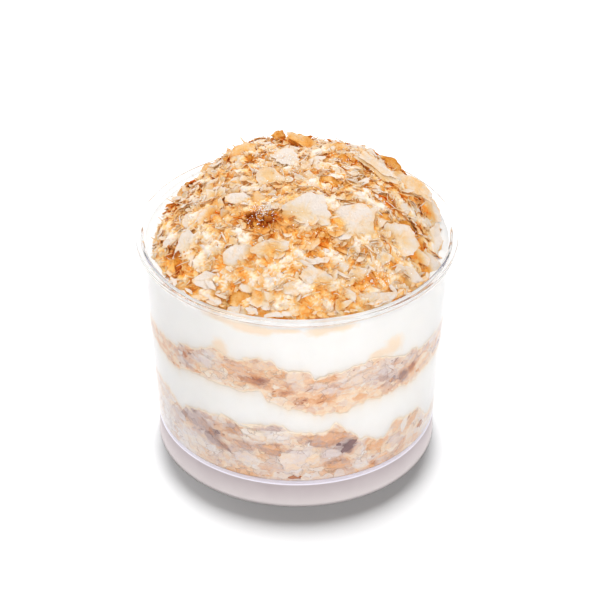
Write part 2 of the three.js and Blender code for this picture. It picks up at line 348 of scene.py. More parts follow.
class Plate:
    """Points of a flat plate before it is bent: rings of corners below and above, each at a share of the
    outline's reach, between a middle point below and one above. Its painted shade is darker on the points
    below."""

    def __init__(self, corners, inner=(), under=0.5):
        shares = np.array([*inner, 1, 1, *inner[::-1]])
        rings = len(shares)
        self.corners = corners
        self.faces = turned_faces(rings, corners)
        self.share = np.concatenate([[0], np.repeat(shares, corners), [0]])
        self.side = np.concatenate([[-1], np.repeat([-1, 1], rings * corners // 2), [1]])
        # Undersides get a darker painted shade
        self.shade = np.where(self.side < 0, under, 1.0)
        self.corner = np.concatenate([[corners], np.tile(np.arange(corners), rings), [corners]])
        self.angle = self.corner * 2 * np.pi / corners

    def outlines(self, rng, count, sides=6, rough=0.1, notch=0.35):
        """Reach of broken outlines at even angles: the nearest of a few straight cracks, d / cos(turn), made
        ragged by waves of 5, 8 and 13 to the turn and by chance, with three narrow notches broken out."""
        turn = even_turns(self.corners)
        crack = (np.arange(sides) + rng.uniform(-0.4, 0.4, (count, sides))) * 2 * np.pi / sides
        away = rng.uniform(0.7, 1, (count, sides))
        facing = np.maximum(np.cos(turn - crack[..., None]), 0.12)
        reach = np.minimum((away[..., None] / facing).min(1), 1.3)
        for waves in (5, 8, 13):
            reach *= 1 + 0.35 * rough * np.sin(waves * turn + rng.uniform(*PHASES, (count, 1)))
        reach *= rng.uniform(1 - rough, 1 + rough, reach.shape)
        for depth in notch * rng.uniform(0, 1, (3, count, 1)):
            away = (turn - rng.uniform(*PHASES, (count, 1)) + np.pi) % (2 * np.pi) - np.pi
            reach *= 1 - depth * np.exp(-(away / 0.2) ** 2)
        return reach / reach.mean(1, keepdims=True)

    def spread(self, reach, length, width):
        """Each point's place along and across a plate: half its length and width, times reach and share."""
        ring = np.tile(reach, (self.share.size - 2) // self.corners)
        full = np.concatenate([reach[:, :1], ring, reach[:, :1]], 1) * self.share
        along = full * np.cos(self.angle) * length[:, None] / 2
        return along, full * np.sin(self.angle) * width[:, None] / 2


SMALL_PLATE = Plate(10)
SHEET_PLATE = Plate(14)
WALL_PLATE = Plate(22)
LARGE_PLATE = Plate(36, inner=(0.35, 0.7), under=0.8)


def across_normal(normal, turn):
    """Two directions across each normal: the first runs to the right, then turns anticlockwise."""
    second = unit(np.cross(normal, (1.0, 0.0, 0.0)))
    first = np.cross(second, normal)
    cos, sin = np.cos(turn)[:, None], np.sin(turn)[:, None]
    return first * cos + second * sin, second * cos - first * sin


def curled_plates(rng, plate, places, normals, length, width, turn, thick, curl, crumple, reach=None):
    """Curled sheets: place + along u + across v + lift n. The lift is a bent square surface of along and
    across, with a small wave and a crumple, plus half the thickness on either side."""
    count = len(places)
    reach = plate.outlines(rng, count) if reach is None else reach
    along, across = plate.spread(reach, length, width)
    half = (length / 2)[:, None]
    bend = rng.normal(0, curl, (3, count, 1)) / half
    phase = rng.uniform(*PHASES, (2, count, 1))
    lift = bend[0] * along ** 2 + bend[1] * across ** 2 + bend[2] * along * across
    most = 0.7 * half
    lift = np.clip(lift, -most, most)
    for height, waves, way, start in ((0.06, 4, along, phase[0]), (0.05, 5, across, phase[1])):
        lift += height * half * plate.share * np.sin(waves * way / half + start)
    lift += rng.normal(0, crumple, (count, plate.corners + 1))[:, plate.corner] * half
    lift += plate.side * thick / 2
    u, v = across_normal(normals, turn)
    return (places[:, None] + along[..., None] * u[:, None] + across[..., None] * v[:, None]
            + lift[..., None] * normals[:, None])


# Steps along a shred, and its sideways bend, lift and wave as shares of half its length
SHRED_STEPS = 6
SHRED_CURL = (0.3, 0.35, 0.08)


def shred_faces():
    """Quads of a four-sided strip: its sides from step to step, then its two ends."""
    first = np.arange(SHRED_STEPS - 1)[:, None] * 4
    j = np.arange(4)
    after = (j + 1) % 4
    sides = np.stack([first + j, first + after, first + 4 + after, first + 4 + j], -1).reshape(-1, 4)
    last = (SHRED_STEPS - 1) * 4
    ends = np.array([[3, 2, 1, 0], [last, last + 1, last + 2, last + 3]])
    return np.zeros((0, 3), int), np.concatenate([sides, ends])


def curled_shreds(rng, places, normals, length, width, turn, thick=0.12, taper=0.75):
    """Thin curled strips: a flat section, narrower to the ends, carried along
    place + u t + v bend t2 + n (lift t2 + a wave)."""
    count = len(places)
    t = np.linspace(-1, 1, SHRED_STEPS)
    half = (length / 2)[:, None]
    u, v = across_normal(normals, turn)
    bend, lift, wave = rng.normal(0, 1, (3, count, 1)) * np.array(SHRED_CURL)[:, None, None] * half
    path = (places[:, None] + (half * t)[..., None] * u[:, None] + (bend * t ** 2)[..., None] * v[:, None]
            + (lift * t ** 2 + wave * np.sin(5 * t))[..., None] * normals[:, None])
    wide = width[:, None] / 2 * (1 - taper * t ** 4)
    corner = np.array([-1, 1, 1, -1])
    face = np.array([-1, -1, 1, 1])
    points = (path[:, :, None] + (wide[..., None] * corner)[..., None] * v[:, None, None]
              + (thick / 2 * face)[:, None] * normals[:, None, None])
    return points.reshape(count, -1, 3)


def kept_inside(cup, points, gap=0.08, clear=0.1, climb=0.4, onto_lip=1.5):
    """Presses what reaches past the wall flat against it, up to the rim, and lets it lie on the lip from a
    clear height above that."""
    radius = np.hypot(points[..., 0], points[..., 1])
    over = ease((points[..., 2] - cup.height - clear) / climb)
    limit = cup.inner(points[..., 2]) - gap + onto_lip * over
    scale = np.minimum(1, limit / np.maximum(radius, 1e-6))
    return points * np.stack([scale, scale, np.ones_like(scale)], -1)


def pressed_plates(cup, plate, reach, azimuth, height, length, width, turn, depth, clear=0.1, into_wall=0.5,
                   half_thick=0.005):
    """Flakes flat against the wall: the outline is turned, wrapped round the wall and set in by depth from a
    skin inside the wall."""
    along, across = plate.spread(reach, length, width)
    cos, sin = np.cos(turn)[:, None], np.sin(turn)[:, None]
    z = np.maximum(height[:, None] + along * sin + across * cos, cup.floor_top + clear)
    radius = cup.inner(z) + into_wall - depth[:, None] + half_thick * plate.side
    return around(azimuth[:, None] + (along * cos - across * sin) / radius, radius, z)


def grains(rng, places, size, rings, segments, uneven=0.3):
    """Small lumps: place + size (1 + unevenness) times the directions of a coarse ball."""
    polar = np.repeat(np.pi * (1 + np.arange(rings)) / (rings + 1), segments)
    turn = np.tile(even_turns(segments), rings)
    way = np.stack([np.sin(polar) * np.cos(turn), np.sin(polar) * np.sin(turn), -np.cos(polar)], -1)
    way = np.concatenate([[[0, 0, -1]], way, [[0, 0, 1]]])
    grow = 1 + uneven * rng.uniform(-1, 1, (len(places), len(way)))
    squeeze = rng.uniform(0.6, 1.2, (len(places), 1, 3))
    return places[:, None] + (size[:, None] * grow)[..., None] * way * squeeze


class Nodes:
    """A new material's node tree, with short calls to add and link nodes."""

    def __init__(self, name):
        self.material = bpy.data.materials.new(name)
        self.material.use_nodes = True
        self.tree = self.material.node_tree
        self.tree.nodes.clear()
        self.out = self.tree.nodes.new("ShaderNodeOutputMaterial")

    def add(self, kind, links=(), **values):
        node = self.tree.nodes.new("ShaderNode" + kind)
        for key, value in values.items():
            setattr(node, key, value)
        for key, value in dict(links).items():
            socket = node.inputs[key]
            if isinstance(value, bpy.types.NodeSocket):
                self.tree.links.new(value, socket)
            elif socket.type == "RGBA":
                socket.default_value = (*value[:3], 1)
            else:
                socket.default_value = value
        return node

    def maths(self, operation, *values):
        return self.add("Math", dict(enumerate(values)), operation=operation).outputs[0]

    def attribute(self, name):
        return self.add("Attribute", attribute_name=name).outputs["Fac"]

    def place(self):
        return self.add("TexCoord").outputs["Object"]

    def noise(self, scale, detail=3, roughness=0.6, shift=None):
        place = self.place()
        if shift is not None:
            place = self.add("VectorMath", {0: place, 1: shift}, operation="ADD").outputs[0]
        return self.add("TexNoise", {
            "Vector": place, "Scale": scale, "Detail": detail, "Roughness": roughness}).outputs["Fac"]

    def swing(self, value, middle, by):
        """A value's distance from a middle, times a factor."""
        return self.maths("MULTIPLY", self.maths("SUBTRACT", value, middle), by)

    def ranged(self, value, low, high, top=1.0):
        """From 0 where a value is low to top where it is high."""
        return self.add("MapRange", {
            "Value": value, "From Min": low, "From Max": high, "To Max": top}).outputs["Result"]

    def ramp(self, fac, *stops):
        node = self.add("ValToRGB", {"Fac": fac})
        elements = node.color_ramp.elements
        while len(elements) < len(stops):
            elements.new(0.5)
        for element, (at, colour) in zip(elements, stops):
            element.position = at
            element.color = (*colour[:3], 1)
        return node.outputs["Color"]

    def mixed(self, fac, first, second):
        """One colour over another: a Mix node's inputs 0, 6 and 7 are its factor and colours."""
        node = self.add("Mix", {0: fac, 6: first, 7: second}, data_type="RGBA", clamp_factor=True)
        return node.outputs[2]

    def bump(self, height, strength, distance):
        return self.add("Bump", {
            "Height": height, "Strength": strength, "Distance": distance}).outputs["Normal"]

    def finish(self, shader):
        self.tree.links.new(shader, self.out.inputs["Surface"])
        return self.material

    def principled(self, links):
        return self.finish(self.add("BsdfPrincipled", links).outputs[0])


SKIRT_PALE = linear(224, 216, 217)
SKIRT_SHADE = linear(178, 167, 170)
FLOOR_EDGE_HIGHLIGHT = linear(226, 223, 236)
PEACH_TINGE = linear(253, 231, 203)
CUSTARD = linear(253, 224, 192)
CREAM_SMEAR = linear(252, 236, 214)
CRACK_AND_RIM_SHADE = linear(140, 96, 84)
AMBER = linear(255, 200, 118)
PEACH = ((0.0, linear(249, 238, 224)), (0.3, linear(246, 219, 188)), (0.6, linear(236, 184, 138)),
         (1.0, linear(196, 120, 72)))
MAUVE = ((0.0, linear(242, 237, 236)), (0.5, linear(220, 200, 195)), (1.0, linear(138, 108, 108)))

# Painted shade in the gaps between flakes: what it takes from red, green and blue, as powers of the share of
# open sky
GAP_SHADE_POWERS = (-0.14, 0.95, 3.3)


def clear_plastic(tint):
    """Clear polished plastic that refracts, and lets the lamps' light through to the food."""
    n = Nodes("clear plastic")
    glass = n.add("BsdfPrincipled", {
        "Base Color": tint, "Roughness": 0.02, "IOR": 1.5, "Transmission Weight": 1.0})
    passing = n.add("BsdfTransparent", {"Color": tint})
    lamp = n.add("LightPath").outputs["Is Shadow Ray"]
    depth = n.add("VolumeAbsorption", {"Color": (0.75, 0.76, 0.83), "Density": 16.0})
    n.tree.links.new(depth.outputs[0], n.out.inputs["Volume"])
    return n.finish(n.add("MixShader", {0: lamp, 1: glass.outputs[0], 2: passing.outputs[0]}).outputs[0])


def frosted_plastic():
    """The satin skirt of the foot: painted shade makes it greyer towards the cup's floor and painted light
    paler towards the table, and a painted highlight line above it stands for the floor's bright edge.
    """
    n = Nodes("frosted plastic")
    satin_top, line_low, line_high = 0.0066, 0.0067, 0.0069
    height = n.add("SeparateXYZ", {0: n.place()}).outputs["Z"]
    cloud = n.swing(n.noise(120, 2), 0.5, 0.3)
    # Painted shade near the cup's floor, painted light towards the table, then a painted highlight line at
    # the floor's edge
    share = n.maths("ADD", n.ranged(height, 0.0, satin_top), cloud)
    tone = n.ramp(share, (0.0, SKIRT_PALE), (1.0, SKIRT_SHADE))
    line = n.ranged(height, line_low, line_high)
    return n.principled({
        "Base Color": n.mixed(line, tone, FLOOR_EDGE_HIGHLIGHT), "Roughness": 0.5, "Specular IOR Level": 0.2,
        "Normal": n.bump(n.noise(2500, 2), strength=0.1, distance=0.0001)})


def soft_cream(colour):
    """Whipped cream: white and soft, tinged with peach beside the pastry and with custard in places."""
    n = Nodes("whipped cream")
    tone = n.ramp(n.noise(160, 2), (0.3, tuple(0.97 * c for c in colour)), (0.65, colour))
    ragged = n.maths("MULTIPLY", n.attribute("near"), n.maths("MULTIPLY", n.noise(500, 4, 0.7), 1.2))
    tone = n.mixed(ragged, tone, PEACH_TINGE)
    blot = n.maths("MULTIPLY_ADD", n.noise(520, 5, 0.7), 1.1, n.attribute("custard"))
    tone = n.mixed(n.ranged(blot, 0.7, 1.3, 0.75), tone, CUSTARD)
    return n.principled({
        "Base Color": tone, "Roughness": 0.45, "Specular IOR Level": 0.3, "Subsurface Weight": 0.25,
        "Subsurface Radius": (0.004, 0.0035, 0.003), "Subsurface Scale": 1.0,
        "Normal": n.bump(n.noise(420, 3), strength=0.12, distance=0.0004)})


def soaked_pastry(name, mosaic, grainy):
    """Soaked pastry seen through the wall: peach to mauve by its own tone, in a bent mosaic of soft scraps,
    large and small, and grained, with brown cracks between some scraps, painted shade along the rims of some
    flakes, and cream over its borders."""
    n = Nodes(name)
    scrap_size = 350.0
    place = n.place()
    swirl = n.add("TexNoise", {"Vector": place, "Scale": 420.0, "Detail": 4.0}).outputs["Color"]
    bent = n.add("VectorMath", {0: swirl, 1: (0.003, 0.003, 0.003), 2: place}, operation="MULTIPLY_ADD")
    flat = n.add("Mapping", {"Vector": bent.outputs[0], "Scale": (1, 1, 1.6)}).outputs[0]

    def scraps(scale, soft):
        links = {"Vector": flat, "Scale": scale, "Smoothness": soft}
        cells = n.add("TexVoronoi", links, feature="SMOOTH_F1")
        return n.add("SeparateColor", {0: cells.outputs["Color"]}).outputs

    def creased(colour, line, scale, shift, low, high):
        """Brown along a line, in the places where a coarse noise is high."""
        shown = n.maths("MULTIPLY", n.ranged(n.noise(scale, 3, 0.6, (shift, 0, 0)), low, high), 0.5)
        return n.mixed(n.maths("MULTIPLY", line, shown), colour, CRACK_AND_RIM_SHADE)

    large, small = scraps(scrap_size, 0.25), scraps(1000.0, 0.35)
    detail = n.maths("ADD", n.swing(large[0], 0.5, mosaic), n.swing(small[0], 0.5, 0.6 * mosaic))
    detail = n.maths("ADD", detail, n.swing(n.noise(1700, 4, 0.75), 0.5, grainy))
    tone = n.maths("ADD", n.attribute("tone"), detail)
    shift = n.maths("ADD", n.swing(large[1], 0.5, 0.7), n.swing(small[1], 0.5, 0.5))
    mauve = n.maths("ADD", n.attribute("mauve"), shift)
    colour = n.mixed(mauve, n.ramp(tone, *PEACH), n.ramp(tone, *MAUVE))
    border = n.add("TexVoronoi", {"Vector": flat, "Scale": scrap_size}, feature="DISTANCE_TO_EDGE")
    crack = n.maths("MAXIMUM", n.maths("MULTIPLY_ADD", border.outputs["Distance"], -16.0, 1.0), 0.0)
    colour = creased(colour, crack, scale=230, shift=0.5, low=0.5, high=0.6)
    # Painted shade along the rims of the wall flakes, in some places
    outline = n.maths("POWER", n.attribute("rim"), 12.0)
    colour = creased(colour, outline, scale=300, shift=0.9, low=0.48, high=0.6)
    smear = n.maths("MULTIPLY_ADD", n.noise(520, 5, 0.7), 1.3, n.attribute("edge"))
    colour = n.mixed(n.ranged(smear, 1.0, 1.5), colour, CREAM_SMEAR)
    return n.principled({
        "Base Color": colour, "Roughness": 0.55, "Specular IOR Level": 0.25,
        "Normal": n.bump(n.noise(1700, 4, 0.7), strength=0.3, distance=0.0003)})


def painted_gap_shade(n, colour):
    """Painted shade in the gaps between flakes: the colour times the share of the sky that is open there, to
    a power for each channel, which takes least from the red so that the shade turns amber."""
    share = n.attribute("open")
    left = n.add("CombineColor", {
        channel: n.maths("POWER", share, power) for channel, power in enumerate(GAP_SHADE_POWERS)}).outputs[0]
    return n.add("VectorMath", {0: colour, 1: left}, operation="MULTIPLY").outputs[0]


def baked_sheet(stops):
    """Baked sheet: a tone per flake runs from pale to brown, with blotches, edges that are browner in some
    places and paler in others, a fine crinkle, and painted shade in the gaps between flakes. A little light
    comes through it, and turns amber."""
    n = Nodes("baked flake")
    through = 0.08
    spots = n.swing(n.noise(420, 6, 0.7), 0.5, 1.3)
    ragged = n.swing(n.noise(330, 3, 0.6, (0.3, 0, 0)), 0.46, 2.2)
    edge = n.maths("MULTIPLY", n.maths("POWER", n.attribute("rim"), 5), ragged)
    tone = n.maths("ADD", n.maths("ADD", n.attribute("tone"), spots), edge)
    crinkle = n.bump(n.noise(700, 5, 0.7), strength=0.7, distance=0.0012)
    shader = n.add("BsdfPrincipled", {
        "Base Color": painted_gap_shade(n, n.ramp(tone, *stops)), "Roughness": 0.6, "Specular IOR Level": 0.15,
        "Normal": crinkle})
    glow = n.add("BsdfTranslucent", {"Color": AMBER, "Normal": crinkle})
    return n.finish(n.add("MixShader", {0: through, 1: shader.outputs[0], 2: glow.outputs[0]}).outputs[0])


def baked_crumb(stops):
    """Packed baked scraps under the flakes, streaked along their sheets, with painted shade in the hollows.
    """
    n = Nodes("baked crumb")
    flat = n.add("Mapping", {"Vector": n.place(), "Scale": (0.6, 1, 2.4)}).outputs[0]
    streak = n.add("TexNoise", {"Vector": flat, "Scale": 330.0, "Detail": 5.0, "Roughness": 0.6})
    grain = n.swing(streak.outputs["Fac"], 0.5, 0.7)
    colour = painted_gap_shade(n, n.ramp(n.maths("ADD", grain, n.attribute("tone")), *stops))
    return n.principled({
        "Base Color": colour, "Roughness": 0.7, "Specular IOR Level": 0.15, "Subsurface Weight": 0.2,
        "Subsurface Radius": (0.003, 0.0016, 0.0007), "Subsurface Scale": 1.0,
        "Normal": n.bump(n.noise(1200, 3, 0.6), strength=0.3, distance=0.0004)})


def sugar():
    """Fine white icing sugar."""
    n = Nodes("icing sugar")
    tone = n.ramp(n.noise(900, 2), (0.35, (0.86, 0.84, 0.82)), (0.6, (0.97, 0.96, 0.95)))
    return n.principled({"Base Color": tone, "Roughness": 0.8, "Specular IOR Level": 0.3})


def arc(centre, radius, start, end, steps=6):
    """Points (radius, height) on a round edge: centre + radius (cos a, sin a), angles in degrees."""
    angle = np.radians(np.linspace(start, end, steps))
    return np.stack([centre[0] + radius * np.cos(angle), centre[1] + radius * np.sin(angle)], -1)


def straight(radius_at, low, high, steps):
    """Points (radius, height) along a wall between two heights."""
    z = np.linspace(low, high, steps)
    return np.stack([radius_at(z), z], -1)


def level(first, last, height, steps):
    """Points (radius, height) along a level surface between two radii."""
    return np.stack([np.linspace(first, last, steps), np.full(steps, height)], -1)


# Innermost ring of the cup's turned surfaces, in mm
CUP_MIDDLE = 4


class BuildCup(bpy.types.Operator):
    """Moulded clear cup: one profile from the floor's underside round foot, wall and lip to the floor's top,
    turned about the axis"""

    bl_idname = "dessert.cup"
    bl_label = "Clear cup"

    def execute(self, context):
        cup = Cup()
        tint = tuple(context.scene.dessert_cup.tint)
        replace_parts(self.turned("clear_cup", self.moulded(cup), clear_plastic(tint)), "cup")
        self.turned("foot_frosting", self.frosted(cup), frosted_plastic())
        return {"FINISHED"}

    def moulded(self, cup, edge=0.4, inlet=0.85, gap_under=4, gap_over=5):
        """The cup's profile: edge rounds its outer edges, and inlet the rim's inner one. The floor is level
        up to a gap from the wall, under and over it."""
        top = cup.height
        under = top - cup.lip
        foot = (cup.foot + cup.bare(0)) / 2
        half = cup.wall / 2
        inside = cup.floor_top + cup.corner
        return np.concatenate([
            level(CUP_MIDDLE, cup.bare(cup.floor_under) - gap_under, cup.floor_under, 8),
            arc((cup.bare(cup.floor_under) - edge, cup.floor_under - edge), edge, 90, 0),
            straight(cup.bare, cup.floor_under - 2 * edge, half, 5),
            arc((foot, half), half, 180, 360, 10),
            straight(cup.outer, 2 * half, under - edge, 24),
            arc((cup.outer(under) + edge, under - edge), edge, 180, 90, 4),
            arc((cup.rim - edge, under + edge), edge, 270, 360),
            arc((cup.rim - edge, top - edge), edge, 0, 90),
            arc((cup.bare(top) + inlet, top - inlet), inlet, 90, 180, 8),
            straight(cup.bare, top - inlet - edge, inside, 24),
            arc((cup.bare(cup.floor_top) - cup.corner, inside), cup.corner, 0, -90),
            level(cup.bare(0) - gap_over, CUP_MIDDLE, cup.floor_top, 8),
        ])

    def frosted(self, cup, skin=0.03, flare=0.4, flare_top=4, above_table=0.02):
        """The skirt's profile: a thin skin inside and outside the foot, flared to the table, and round the
        floor, and a bevel above the skirt."""
        under = cup.floor_under - 0.05
        inside = cup.floor_top - 0.15
        skirt = cup.floor_top + 0.1
        bevel = 0.8

        def flared(z):
            return cup.outer(z) + skin + flare * (1 - np.minimum(z / flare_top, 1)) ** 2

        return np.concatenate([
            level(CUP_MIDDLE, cup.bare(under) - 1, under, 6),
            straight(lambda z: cup.bare(z) - skin, under - 0.3, above_table, 4),
            straight(flared, above_table, skirt, 10),
            straight(lambda z: cup.outer(z) + skin - 0.9 * (z - skirt), skirt, skirt + bevel, 4),
            level(cup.bare(inside) - 1, CUP_MIDDLE, inside, 6),
        ])

    def turned(self, name, profile, material, segments=256):
        """A profile turned about the axis."""
        azimuth = even_turns(segments)
        rings = around(azimuth[None], profile[:, :1], profile[:, 1:])
        points = turned_points(rings, (0, 0, profile[0, 1]), (0, 0, profile[-1, 1]))
        piece = show_mesh(name, points, *turned_faces(len(rings), segments), material)
        return piece


# How far cream is smeared over the pastry, and pastry tinges the cream, in mm
SMEAR = 0.5
TINGE = 0.6

# How far the food reaches into the wall, in mm, and the radius at which degrees there become mm
CREAM_IN_WALL = 0.02
CRUMB_IN_WALL = 0.06
CREAM_RADIUS = 37
PASTRY_RADIUS = 36

# Ripples of a layer's edge: height, length, seed
EDGE_RIPPLES = ((0.35, 5, 21), (0.25, 2, 22))


def layer_points(bottom, top, radius_at, rows, segments=360, rings=6):
    """A layer between two edges: rings run from the axis out along the bottom, up the side and back along
    the top. Inside, each surface eases from the edge to its mean level."""
    azimuth = even_turns(segments)
    low, high = bottom(azimuth), top(azimuth)
    share = (np.arange(rings) + 1)[:, None] / rings
    flat_low = mix(low.mean(), low[None], share ** 2)
    flat_high = mix(high.mean(), high[None], share ** 2)
    side = mix(low[None], high[None], np.linspace(0, 1, rows)[1:-1, None])
    height = np.concatenate([flat_low, side, flat_high[::-1]])
    reach = np.concatenate([share, np.ones((rows - 2, 1)), share[::-1]])
    points = around(azimuth[None], reach * radius_at(height), height)
    skin = turned_points(points, (0, 0, low.mean()), (0, 0, high.mean()))
    return skin, turned_faces(len(points), segments)


def edge_of(edge):
    """A layer's edge with a ragged line: the measured line and two small ripples."""
    def height(azimuth):
        return ripples(around(azimuth, CREAM_RADIUS, 0.0), EDGE_RIPPLES, edge_height(edge, azimuth))
    return height


def level_of(height):
    return lambda azimuth: np.full_like(azimuth, height)


# Custard and crumb stains in the cream: azimuth in degrees, height, half width and half height in mm
STAINS = (
    (-29.5, 46.3, 2.1, 3), (-30, 56, 4.4, 1.2), (-20.2, 54.9, 3.4, 1.5), (-12.8, 54.6, 3.4, 1.4),
    (8, 54.9, 2.4, 1.5), (17, 55.2, 3.4, 1.2), (39.2, 44.8, 2.8, 3), (31.8, 44.1, 2.2, 1.4),
    (-3, 55.2, 3, 0.8),
)


class BuildCream(bpy.types.Operator):
    """The two cream layers, which reach a little into the wall so that no air shows"""

    bl_idname = "dessert.cream"
    bl_label = "Cream layers"

    def execute(self, context):
        cup = Cup()
        food = context.scene.dessert_food
        material = soft_cream(tuple(food.cream))
        brim = level_of(food.cream_top / MM)
        self.layer(cup, "cream_lower", edge_of(BASE_EDGE), edge_of(LOWER_CREAM_EDGE), True, material)
        self.layer(cup, "cream_upper", edge_of(MIDDLE_EDGE), brim, False, material)
        return {"FINISHED"}

    def layer(self, cup, node, bottom, top, pastry_above, material):
        """One layer, tinged beside the pastry and stained in places."""
        points, faces = layer_points(bottom, top, lambda z: cup.inner(z) + CREAM_IN_WALL, rows=44)
        azimuth = azimuth_of(points)
        away = points[:, 2] - bottom(azimuth)
        if pastry_above:
            away = np.minimum(1.2 * away, 0.5 * (top(azimuth) - points[:, 2]))
        custard = np.zeros(len(points))
        for at, height, wide, tall in STAINS:
            turn = beside(azimuth, at) * np.radians(CREAM_RADIUS)
            custard += np.exp(-(turn / wide) ** 2 - ((points[:, 2] - height) / tall) ** 2)
        piece = show_mesh(node + "_whipped", points, *faces, material, {
            "near": np.exp(-np.maximum(away, 0) / TINGE), "custard": np.minimum(custard, 1)})
        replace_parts(piece, node)


# Flakes that can be told apart at the wall: azimuth, height, length, width, turn, tone, mauve
WALL_FLAKES = {
    "pastry_base": (
        (21.3, 17.6, 4.8, 2.1, 42, 1.05, 1.0), (-25.5, 23, 6.4, 2, -45, 0.6, 0.5),
        (-12.5, 24.5, 9.2, 1.7, 2, 0.6, 0.8), (-30, 15.6, 5, 0.8, -32, 0.85, 0.7),
        (-35, 18, 4.6, 1.2, -60, 0.75, 0.7), (-21.5, 17.7, 5, 2.1, -15, 0.62, 0.45),
        (-9.5, 17.7, 6, 3, -14, 0.62, 0.4), (12.5, 21.1, 11.5, 4, -4, 0.66, 0.35),
        (18.2, 12.2, 6, 2.6, -14, 0.6, 0.4), (-16.2, 21.7, 6, 2.8, -14, 0.1, 0.4),
        (-6.8, 22.4, 5.6, 3.4, 12, 0.1, 0.4), (13.5, 16, 5, 3, -8, 0.3, 1.0),
        (7, 15.3, 4.6, 3.4, 70, 0.2, 0.35), (-0.5, 14.2, 7.4, 9, 80, 0.2, 0.7),
        (-20.5, 14.1, 6, 4, -5, 0.22, 0.8), (26.3, 15.3, 3.2, 2.6, 60, 0.22, 0.6),
        (33.5, 15, 4.8, 3, 14, 0.55, 0.2), (43, 13.7, 5, 3.8, 30, 0.35, 0.45),
        (45, 18.7, 4, 3.2, 40, 0.5, 0.4), (55, 16.9, 3.6, 2.2, 60, 0.5, 0.0),
        (27, 10.9, 4, 3, 15, 0.15, 0.7), (-41.5, 13.8, 4.6, 3.6, -40, 0.15, 0.8),
        (-43, 20.2, 8, 4.6, -12, 0.6, 1.0),
    ),
    "pastry_middle": (
        (-47, 39.4, 1.2, 1.6, 30, 1.0, 0.0), (50.3, 34.7, 2, 1.8, 20, 0.9, 0.0),
        (45, 33.8, 2.4, 2, 30, 0.9, 1.0), (-16.8, 38.9, 5, 1.5, -5, 0.85, 0.1),
        (11, 40.1, 4.6, 1.8, 12, 0.62, 0.0), (-36.5, 41, 4.6, 3.2, -15, 0.22, 0.9),
        (24, 38.2, 7.5, 3.4, 8, 0.3, 0.65), (-1, 41.4, 5, 3, 5, 0.35, 0.5),
        (-12.5, 43.7, 4.6, 2.6, 0, 0.36, 0.0), (35, 38.6, 3, 2.4, 20, 0.3, 0.7),
        (40, 36, 2.6, 2, 20, 0.35, 0.8), (51.5, 38.4, 3.4, 3, 50, 0.45, 0.65),
    ),
}


